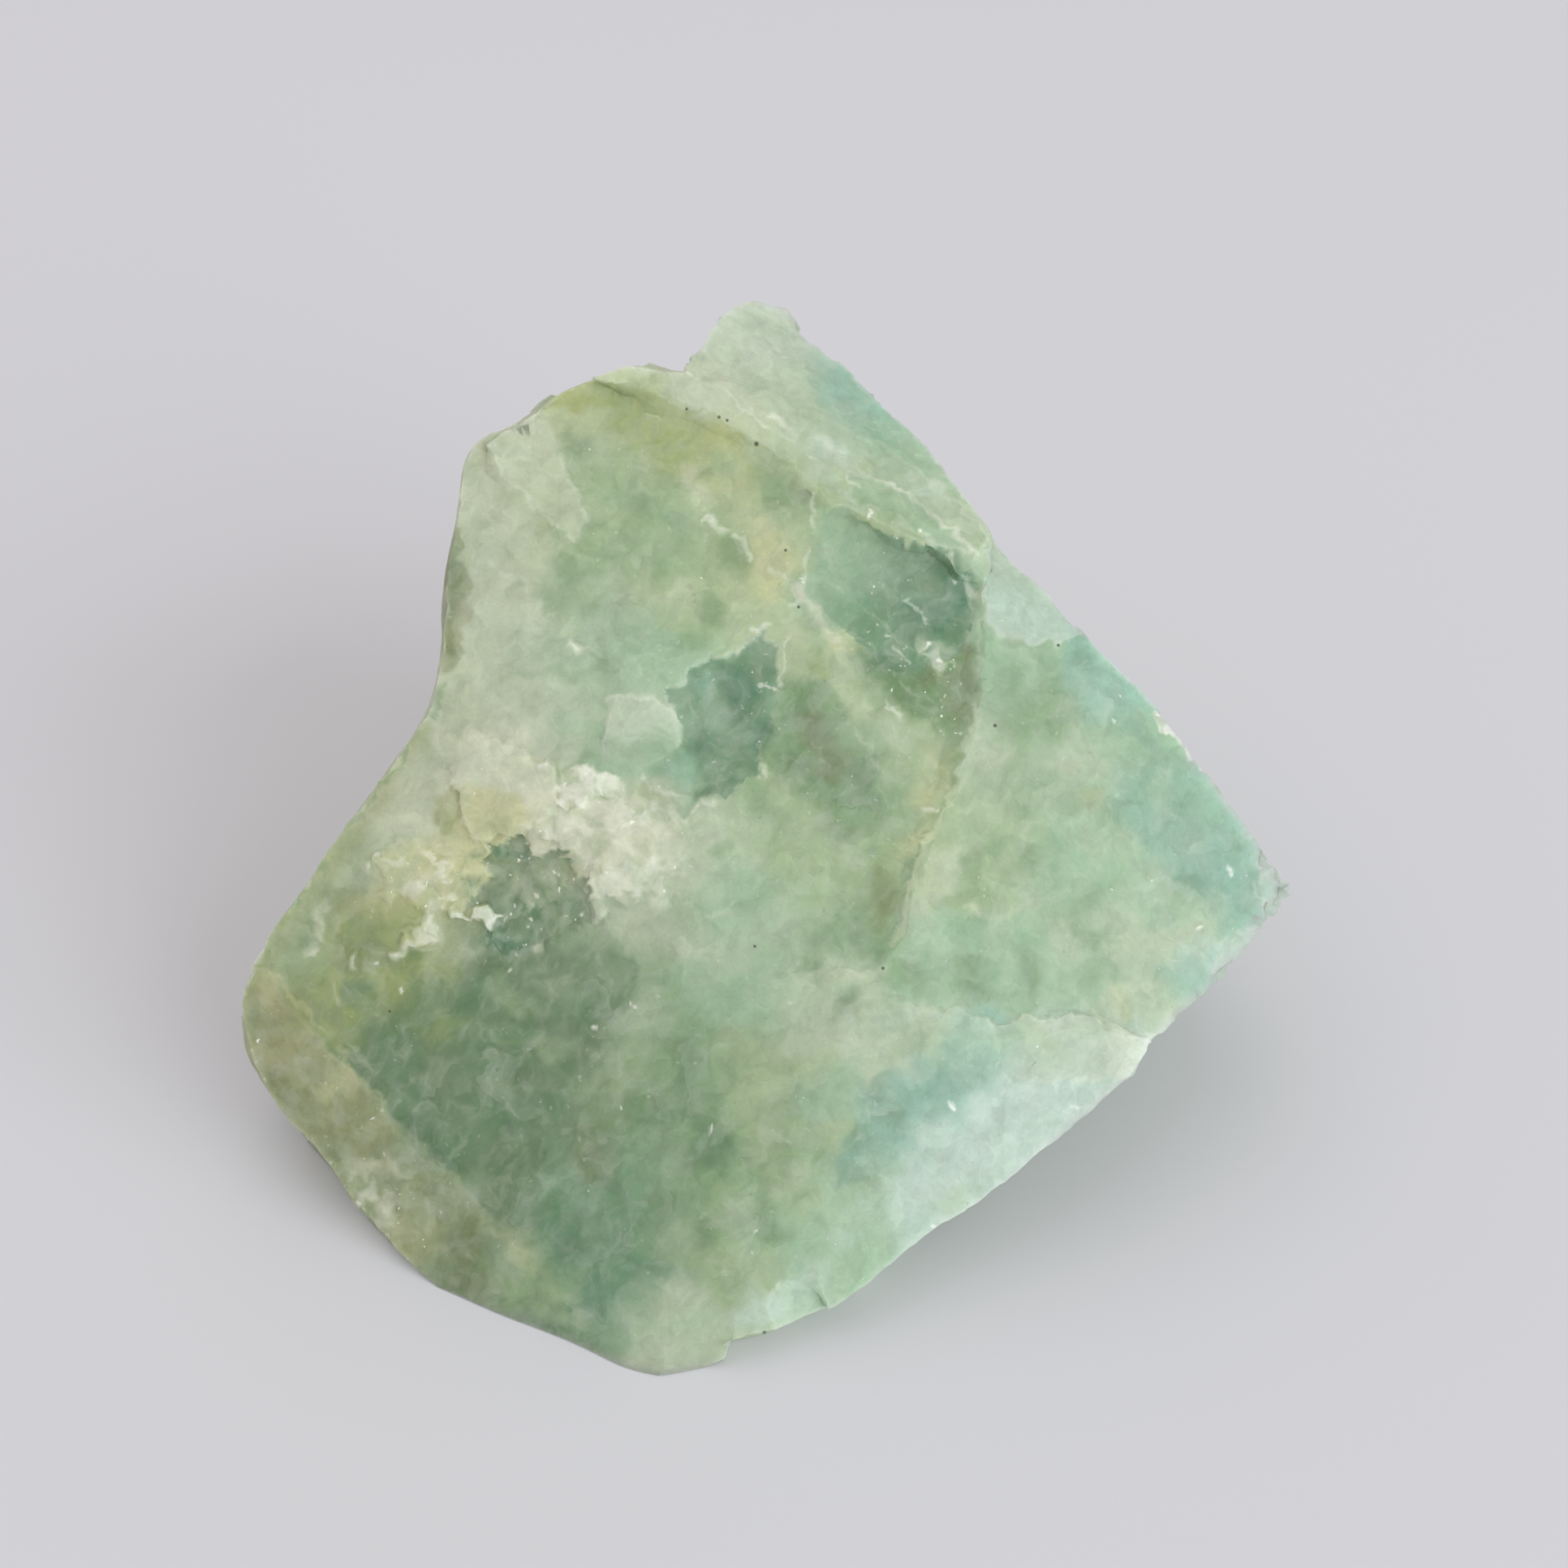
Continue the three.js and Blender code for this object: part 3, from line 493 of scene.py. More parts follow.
# small soft spots, laid in this order over the patches
BLOTS = spots((
    (Tint.WELL, (
        (11, 12.3, 0.8, 1.5, -10, 0.8), (8.9, 10.6, 1.8, 1.6, -30, 0.95),
        (9.2, 11.6, 1.2, 1.6, -20, 0.6), (-3, 5.8, 1.1, 1.5, 10, 0.8), (-1.9, 3, 0.7, 0.9, 0, 0.6),
        (-17, -4.4, 1.2, 0.7, 10, 0.6), (-13.1, -7.4, 0.9, 0.8, -20, 0.55),
    )),
    (Tint.DEEP, (
        (8.8, 13.4, 2, 0.9, -20, 0.7), (-1.4, 7.2, 0.5, 0.9, 20, 0.5), (6.4, 7.8, 1, 1.3, -20, 0.9),
        (-19.2, -4.6, 0.6, 0.3, 20, 0.5), (-19, -6.4, 0.8, 0.5, 60, 0.5), (-17, -7, 1.2, 1, 0, 0.6),
        (-15.6, -8.3, 1.3, 0.7, 20, 0.7), (-9.8, -11, 0.7, 1, 0, 0.5), (-24, -16.8, 1, 1.8, 0, 0.5),
        (-22, -13.5, 3, 1.3, 20, 0.6), (-19.3, -13, 1.6, 1, 0, 0.5), (-18, -17.2, 1.4, 1.1, 10, 0.6),
        (-14.5, -15, 0.6, 0.8, 0, 0.4), (-12, -13.6, 2, 1.5, 20, 0.7), (-6, -17, 1, 2, -25, 0.5),
        (-22.5, -20, 1.8, 1.5, 0, 0.6), (-21, -22.3, 2.2, 1.3, -45, 0.7),
        (-18.5, -19.7, 2.2, 0.9, 0, 0.6), (-16.8, -20.2, 1.5, 1.2, 10, 0.6),
        (-16.6, -21, 0.9, 1.3, 10, 0.6), (-14.3, -19.8, 1.6, 0.9, 10, 0.6),
        (-8, -20.4, 1, 0.6, 10, 0.4), (-4.6, -19, 1, 0.8, 0, 0.4), (-4.2, -22.3, 1.4, 1.5, 0, 0.6),
        (-16.5, -26.5, 1.2, 1, 0, 0.4), (-12.3, -28.5, 1.5, 0.9, 10, 0.6),
        (-10.2, -27.8, 0.8, 0.8, 0, 0.5),
    )),
    (Tint.LEAF, (
        (-11, 14.6, 1.6, 0.6, 0, 0.5), (-7.2, 16.2, 1.3, 0.9, -45, 0.6),
        (-11.6, 8.7, 0.8, 0.3, -40, 0.5), (-11.1, 7.6, 0.9, 0.8, 0, 0.7), (-6.2, 8.9, 0.8, 0.5, 0, 0.5),
        (-5.2, 9.5, 1.4, 1, 10, 0.4), (13.8, 5.6, 0.9, 1.6, 0, 0.3), (14.6, 3.8, 1, 0.9, 0, 0.4),
        (16.4, 2.9, 1.2, 0.9, 0, 0.6), (13.3, -3.7, 0.9, 0.7, 0, 0.6), (15, -1, 0.8, 1, 0, 0.5),
        (7.5, -11.7, 1.1, 1.1, 0, 0.7), (11.4, -11.6, 1, 1.4, 0, 0.7), (11.6, -8.6, 0.9, 0.7, 0, 0.4),
        (15, -11.4, 0.9, 1.8, 0, 0.7), (19, -11.6, 2, 0.7, 0, 0.5), (10, -12.6, 2.2, 0.9, -10, 0.3),
        (10, -13, 1.2, 0.7, 0, 0.3), (-18.8, -24.6, 1, 1, 0, 0.5), (0.8, -25.6, 1, 0.4, 20, 0.5),
    )),
    (Tint.PEAT, (
        (-20.6, 12, 0.5, 3.5, 0, 0.7), (-5.8, 12, 0.5, 0.3, -30, 0.7), (9, 6.6, 1.2, 0.6, 0, 0.5),
        (10.9, 7, 0.7, 1.7, 0, 0.6), (3.1, 1, 1.2, 1.3, -40, 0.7), (10.5, 4.8, 0.6, 1.2, 20, 0.6),
        (-20.9, -1.9, 0.7, 0.8, 0, 0.25), (-26.8, -7, 1.6, 1.3, 30, 0.5),
        (-28.6, -13.6, 2, 1.1, -40, 0.35), (-30.4, -19, 2.2, 0.8, -52, 0.5),
        (-28.2, -22.3, 0.8, 0.6, 0, 0.5), (-12, -22.8, 1.7, 1.6, 0, 0.6),
        (-23.6, -27.2, 2.6, 0.35, -52, 0.7), (-19.6, -28.6, 1.6, 1.8, 0, 0.6),
    )),
    (Tint.PALE, (
        (-15.5, 21, 2.4, 1.6, 30, 0.3), (-13, 22.4, 1.8, 0.8, 20, 0.4), (-11.6, 21.2, 3, 1.4, 20, 0.4),
        (1.2, 9.4, 0.9, 0.7, -30, 0.5), (-14, 2, 1.6, 1.6, 0, 0.4), (-14, 2, 1.6, 1.6, 0, 0.4),
        (-16.2, -6.4, 0.5, 0.3, 40, 0.6), (-14.6, -7.6, 0.35, 0.5, 0, 0.6),
        (-9.5, -8.6, 2.2, 0.9, 20, 0.4), (13.6, -7.6, 2.8, 0.5, 5, 0.5),
    )),
    (Tint.SAGE, (
        (-11, -0.4, 1.4, 0.8, -20, 0.35), (-9.3, -1.9, 0.5, 0.7, 0, 0.5), (-2.2, -3.4, 1, 0.8, 20, 0.4),
        (-14.6, -16.4, 1.5, 0.8, 10, 0.5), (-10.5, -17.6, 2.6, 1.3, 40, 0.6),
        (17, -16.6, 2.4, 1.2, 20, 0.3), (-6.3, -28.6, 1.6, 1, 0, 0.5), (-3.4, -26, 1.4, 1.4, 0, 0.5),
        (10.2, -25.6, 1.8, 1.2, 35, 0.25),
    )),
    (Tint.CREAM, (
        (-23.2, 0.6, 1.6, 0.8, 55, 0.35), (-23, -2.6, 1.4, 1.4, 0, 0.35), (-20, -0.4, 1, 1, 0, 0.4),
        (11.5, -7.2, 0.6, 0.35, -30, 0.6), (20.4, -16.1, 1.4, 0.6, 30, 0.2),
        (-26, -23.6, 1.3, 0.6, -40, 0.6), (-23.7, -23.9, 1.6, 0.35, -10, 0.5),
        (-24.6, -26.4, 2.2, 0.3, -52, 0.6),
    )),
    (Tint.MINT, (
        (-11.2, 12, 1.4, 0.9, 0, 0.4), (8.9, 8.3, 0.9, 0.5, 10, 0.7), (-3.4, -11, 3, 1.2, 35, 0.5),
        (0, -9, 1.4, 3, -20, 0.4), (-8.6, -14.2, 2.2, 1.3, 30, 0.5), (16, -15.6, 2.4, 0.9, 10, 0.4),
        (16, -15.6, 2.2, 0.8, 0, 0.5), (10, -25.2, 1.8, 0.9, 38, 0.4),
    )),
    (Tint.TEAL, (
        (3.9, 25.2, 1.5, 1.1, -45, 0.4), (4.4, 23.8, 1.2, 1.4, -50, 0.15),
        (6.6, 21, 1.8, 0.8, -50, 0.15), (19, 7.2, 1.1, 0.8, -40, 0.45), (22, -0.5, 2.6, 2, -45, 0.35),
        (25.2, -3.2, 2.4, 2, -45, 0.25), (22.6, -7.2, 2.6, 1.6, 0, 0.3),
        (4.3, -22.8, 1.5, 0.9, 60, 0.4), (11.4, -18, 1.8, 0.8, 35, 0.2),
    )),
    (Tint.LEAF, (
        (-9.3, 17.5, 1.8, 0.9, -45, 0.6), (-10.8, 2.3, 0.7, 0.5, 5, 0.3),
        (-3.7, -4.1, 0.8, 0.6, 0, 0.5), (-0.4, -2.8, 1.6, 0.9, 30, 0.35), (16, -0.5, 2.4, 1.6, 0, 0.3),
        (-2.4, -7.3, 0.9, 0.8, 0, 0.6), (1.8, -10.7, 0.9, 0.4, 0, 0.7),
        (-17.4, -15.6, 1.3, 0.7, 0, 0.5), (-8.6, -23.4, 1.6, 2.4, 10, 0.5),
    )),
    (Tint.FERN, (
        (4.9, 0.1, 0.8, 1.5, 10, 0.8), (3.4, -2.8, 0.7, 0.8, 0, 0.5), (4.4, -1.1, 0.8, 0.7, 0, 0.6),
        (-29.7, -9.4, 0.7, 1.2, -10, 0.5), (-26.4, -12.6, 1, 1, 0, 0.6), (12, -12.9, 0.9, 0.5, 0, 0.5),
        (-22.6, -23.2, 1.6, 1.1, -40, 0.4),
    )),
    (Tint.ICE, (
        (2.6, 18.9, 2.2, 0.5, -40, 0.3), (8.9, 18.3, 1.8, 0.5, -45, 0.4),
        (14, -21.5, 2.4, 0.9, 40, 0.3), (3.6, -28, 1.4, 0.8, 20, 0.35), (-1.8, -33, 1.4, 0.8, 0, 0.3),
        (1.6, -30.4, 1.8, 1, 30, 0.4),
    )),
    (Tint.STRAW, (
        (-13, -5.2, 0.8, 0.5, -40, 0.5), (-31.8, -13.2, 0.9, 1.4, 0, 0.5), (21, -13.4, 0.8, 1, 0, 0.4),
        (-27.5, -18.6, 1, 1.2, -40, 0.6), (-23, -27.6, 1.8, 1.2, -45, 0.35),
        (-16.4, -28.4, 1.9, 1, -48, 0.5),
    )),
    (Tint.MOSSPOOL, (
        (-2.9, 14.4, 1.5, 0.7, -60, 0.5), (-4.6, 11, 1, 0.9, 0, 0.6), (11.3, -5, 0.6, 0.7, 0, 0.5),
        (15, -5, 0.6, 0.9, 0, 0.6),
    )),
    (Tint.PALE, (
        (17, 1.2, 1.6, 0.5, 0, 0.5), (-23.4, -0.6, 1.2, 0.8, 55, 0.5), (9.6, -5.6, 0.8, 3, -20, 0.6),
        (13, -9.4, 1, 1.8, 0, 0.25),
    )),
    (Tint.SAGE, (
        (1.6, -3.6, 1.2, 0.9, 20, 0.4), (12, -0.5, 0.8, 0.8, 0, 0.5), (-11, -20.5, 1.6, 1.2, 20, 0.3),
        (-8, -28, 1.6, 1.2, 20, 0.35),
    )),
    (Tint.SEA, (
        (-8, 1.6, 1.3, 0.8, 0, 0.5), (4, -13, 1.4, 0.7, 0, 0.4), (2.2, -27.4, 2, 0.7, 20, 0.5),
        (-5, -33, 2, 1, 0, 0.3),
    )),
    (Tint.LEAF, (
        (6.3, 16.6, 2.4, 0.6, -35, 0.5), (13.2, -6.1, 1.2, 0.35, 0, 0.5),
        (-0.5, -27.9, 0.8, 0.5, 10, 0.7),
    )),
    (Tint.MILK, (
        (-19, 17.4, 0.7, 2.4, 5, 0.3), (-16.2, 6.4, 2.6, 4.4, 10, 0.35), (-14.2, 2.2, 1.2, 0.8, 0, 0.5),
    )),
    (Tint.LEAF, (
        (-16, 6.5, 1.4, 0.5, 0, 0.4), (-13.4, 6.5, 1.2, 0.5, 0, 0.4), (-12.4, 1.2, 2, 0.35, 5, 0.35),
    )),
    (Tint.MOSS, (
        (-8.6, 22.9, 1.2, 0.5, -35, 0.35), (-7.2, 21.2, 1.2, 0.9, -40, 0.6),
        (6.4, -6, 1, 2.6, -18, 0.35),
    )),
    (Tint.PEAT, (
        (-14.6, 23.1, 0.7, 0.3, 30, 0.4), (5.2, -9, 0.8, 1, 0, 0.4), (5.7, -6.7, 0.9, 1.6, -20, 0.5),
    )),
    (Tint.WELL, (
        (-4.9, 2.2, 1.1, 1.1, 0, 0.7), (-17.4, -9.9, 1.2, 0.8, 0, 0.7), (-12, -31.9, 1.6, 1.5, 0, 0.5),
    )),
    (Tint.AQUA, ((-5.3, 6, 0.9, 0.7, 40, 0.5), (2.6, -19, 2.6, 1.4, 30, 0.4))),
    (Tint.LEAF, (
        (3.3, -9.5, 1.8, 0.8, 10, 0.7), (5.3, -10.4, 0.8, 0.6, 0, 0.7), (1, -22.8, 1.4, 1, 0, 0.6),
        (1.8, -21.2, 0.9, 0.8, 0, 0.4),
    )),
    (Tint.MINT, (
        (-12, 11.8, 2.6, 1.2, 10, 0.35), (3.2, -17.2, 2, 0.6, 45, 0.4), (0.5, -20.1, 1.5, 0.4, 15, 0.4),
    )),
    (Tint.LEAF, (
        (-13.6, 13.2, 1.5, 0.7, -10, 0.6), (-7.9, 13.4, 0.8, 0.5, 0, 0.5),
        (-9.4, 9.7, 1.6, 0.8, 20, 0.4),
    )),
    (Tint.PALE, (
        (-9, 11.7, 2, 0.5, 0, 0.4), (-6.4, 11.8, 1.4, 0.5, 20, 0.4), (3, -11.7, 1.6, 0.4, 10, 0.6),
    )),
    (Tint.CREAM, ((-5.2, 18.4, 1.5, 0.7, -60, 0.5), (-14.3, -6, 1.1, 0.6, -20, 0.5))),
    (Tint.FROST, (
        (-0.2, 22.1, 1.4, 0.4, -35, 0.5), (-4.8, 16.3, 0.5, 0.25, -10, 0.6),
        (-13, 8.6, 0.5, 0.2, -40, 0.7),
    )),
    (Tint.ICE, (
        (3, 20.3, 1.5, 0.5, -30, 0.5), (7.2, -18.2, 1.4, 0.7, 30, 0.3),
        (-1.4, -32.6, 1.6, 1.1, 10, 0.6),
    )),
    (Tint.TEAL, (
        (24.2, -3, 4, 3, -45, 0.35), (6.2, -20.4, 1.6, 1.1, 20, 0.3), (9.4, -18.4, 1.8, 1, 30, 0.25),
    )),
    (Tint.SEA, (
        (19, -0.6, 1.2, 0.8, -20, 0.5), (22.6, -0.4, 1.2, 1, -40, 0.4),
        (24.4, -1.6, 3.4, 2.4, -45, 0.35), (22.4, -8, 1.8, 0.8, 10, 0.4),
        (23.5, -7.8, 3.2, 1.4, 10, 0.35), (12.5, -16, 2.4, 0.6, 5, 0.5),
    )),
    (Tint.TEAL, (
        (22, 3, 1, 0.6, -40, 0.45), (23, 1.5, 1.6, 0.9, -40, 0.3), (24.6, -3, 1.8, 1.1, -40, 0.35),
        (26, -6.1, 1, 0.8, 0, 0.5), (28.5, -7, 1.2, 1.5, 0, 0.3),
    )),
    (Tint.DEEP, ((-4.4, 0, 1, 0.6, 0, 0.7), (-14.6, -33.6, 2.4, 0.7, -15, 0.6))),
    (Tint.FERN, ((-14, -10.3, 1.6, 0.8, -10, 0.6), (4.3, -13.7, 1, 0.7, 45, 0.6))),
    (Tint.LEAF, (
        (-3.8, 19.7, 1, 1.1, 0, 0.5), (-11.2, -9.8, 1.4, 1.1, 20, 0.6), (-9.6, -11.6, 2.4, 2, 0, 0.4),
        (18.7, -9.6, 1.3, 1.1, 0, 0.6), (-13.4, -13.2, 2, 1.4, 0, 0.25),
    )),
    (Tint.SAGE, (
        (-8.2, -0.6, 1.2, 0.7, -20, 0.6), (-17.2, -13, 1.6, 1, 10, 0.4), (-17, -13, 1.6, 1.2, 0, 0.3),
        (-14.2, -30.4, 2, 1, -45, 0.4),
    )),
    (Tint.ICE, ((22.5, -6.9, 1.2, 0.25, 10, 0.3), (26.2, -10.4, 2.2, 0.9, 25, 0.5))),
    (Tint.OLIVE, ((18.5, -1.2, 1, 0.8, 0, 0.4), (-24.4, -9.5, 1.6, 0.6, 0, 0.4))),
    (Tint.PALE, (
        (19.6, -3.4, 2, 1.1, -20, 0.4), (-20.4, -9, 1.4, 1.6, 0, 0.4), (-15.8, -9.9, 0.5, 0.35, 0, 0.8),
        (17, -9.8, 0.6, 1.6, 0, 0.35),
    )),
    (Tint.LEAF, ((-14, -7.4, 1.4, 2, 0, 0.5), (-17, -12.8, 1.6, 0.8, 10, 0.5))),
    (Tint.PEAT, ((-25.9, -10.6, 1.7, 1.1, 10, 0.55), (-19, -31, 1.9, 0.8, -30, 0.7))),
    (Tint.FERN, ((-12.6, -11.4, 2.6, 1.1, 10, 0.55), (-26.2, -12.8, 1.2, 1, 0, 0.5))),
    (Tint.MOSSPOOL, ((-0.6, 17.9, 1.8, 0.9, -40, 0.4), (-23.2, -10.8, 1.3, 0.8, 0, 0.5))),
    (Tint.REED, ((-12.4, 22.2, 1.8, 1, 20, 0.5), (1, 6.9, 0.8, 0.9, 0, 0.45))),
    (Tint.MOSS, (
        (-9.8, 23.1, 1.4, 0.6, -15, 0.5), (2.2, 7.4, 1, 0.6, -45, 0.5),
        (-23.2, -8.2, 1.3, 0.8, 20, 0.5),
    )),
    (Tint.STRAW, (
        (3.2, 8.6, 1, 0.6, -50, 0.7), (8, -3.5, 0.7, 1.3, -20, 0.6), (-26.2, -7.6, 1.2, 0.9, 30, 0.4),
    )),
    (Tint.SAGE, ((-14, -5.4, 1.2, 1, 0, 0.3), (-16.4, -30.8, 2.6, 0.9, -45, 0.35))),
    (Tint.MINT, ((1.5, -15, 3, 0.8, 40, 0.4), (-14, -32.8, 1.2, 0.8, 0, 0.35))),
    (Tint.AQUA, ((-6.4, 0.8, 0.9, 0.8, -30, 0.4),)),
    (Tint.CREAM, ((-22, -5.6, 1.6, 1, 20, 0.6),)),
    (Tint.ICE, ((6.2, -14.7, 2.4, 0.5, 0, 0.3),)),
    (Tint.LEAF, ((-14, -6.6, 1.4, 2, 0, 0.35),)),
    (Tint.CREAM, ((-15.4, -7.2, 0.6, 0.4, 10, 0.4),)),
    (Tint.MILK, ((-16.4, 10, 1, 1.6, -30, 0.4),)),
    (Tint.MOSSPOOL, ((-12.8, 20.7, 1, 0.9, 0, 0.5),)),
    (Tint.PALE, ((-20.4, -10.4, 1.6, 0.8, 10, 0.5),)),
    (Tint.CREAM, ((-23, -10.2, 1.4, 0.4, 0, 0.5), (-22, -8.6, 0.8, 1.4, 0, 0.6))),
    (Tint.PEAT, ((1.2, 18.1, 0.8, 0.4, -40, 0.6),)),
    (Tint.POOL, ((7.3, 12, 2, 1.3, -20, 0.5),)),
    (Tint.SEA, ((4.9, 13.6, 1.8, 1.5, -20, 0.4), (-0.4, 4, 0.8, 2.6, 5, 0.4))),
    (Tint.LEAF, ((-1.9, -0.6, 1.5, 1.3, -20, 0.55),)),
    (Tint.MINT, ((3.3, 14, 0.8, 0.6, 0, 0.5),)),
    (Tint.PEAT, ((2.2, 3, 1.2, 1.2, -30, 0.7),)),
    (Tint.MOSSPOOL, ((1, 4.6, 0.9, 1.2, 0, 0.5),)),
    (Tint.REED, ((4.6, 4.9, 2.4, 0.7, -42, 0.7),)),
    (Tint.MINT, ((7.3, 3, 0.8, 1.3, -20, 0.7),)),
    (Tint.STRAW, ((9, 0, 1.2, 2.4, -15, 0.5),)),
    (Tint.FROST, ((9, -1.5, 0.7, 0.25, 20, 0.6),)),
    (Tint.PALE, ((13, 1.4, 1.6, 0.7, 0, 0.5),)),
))

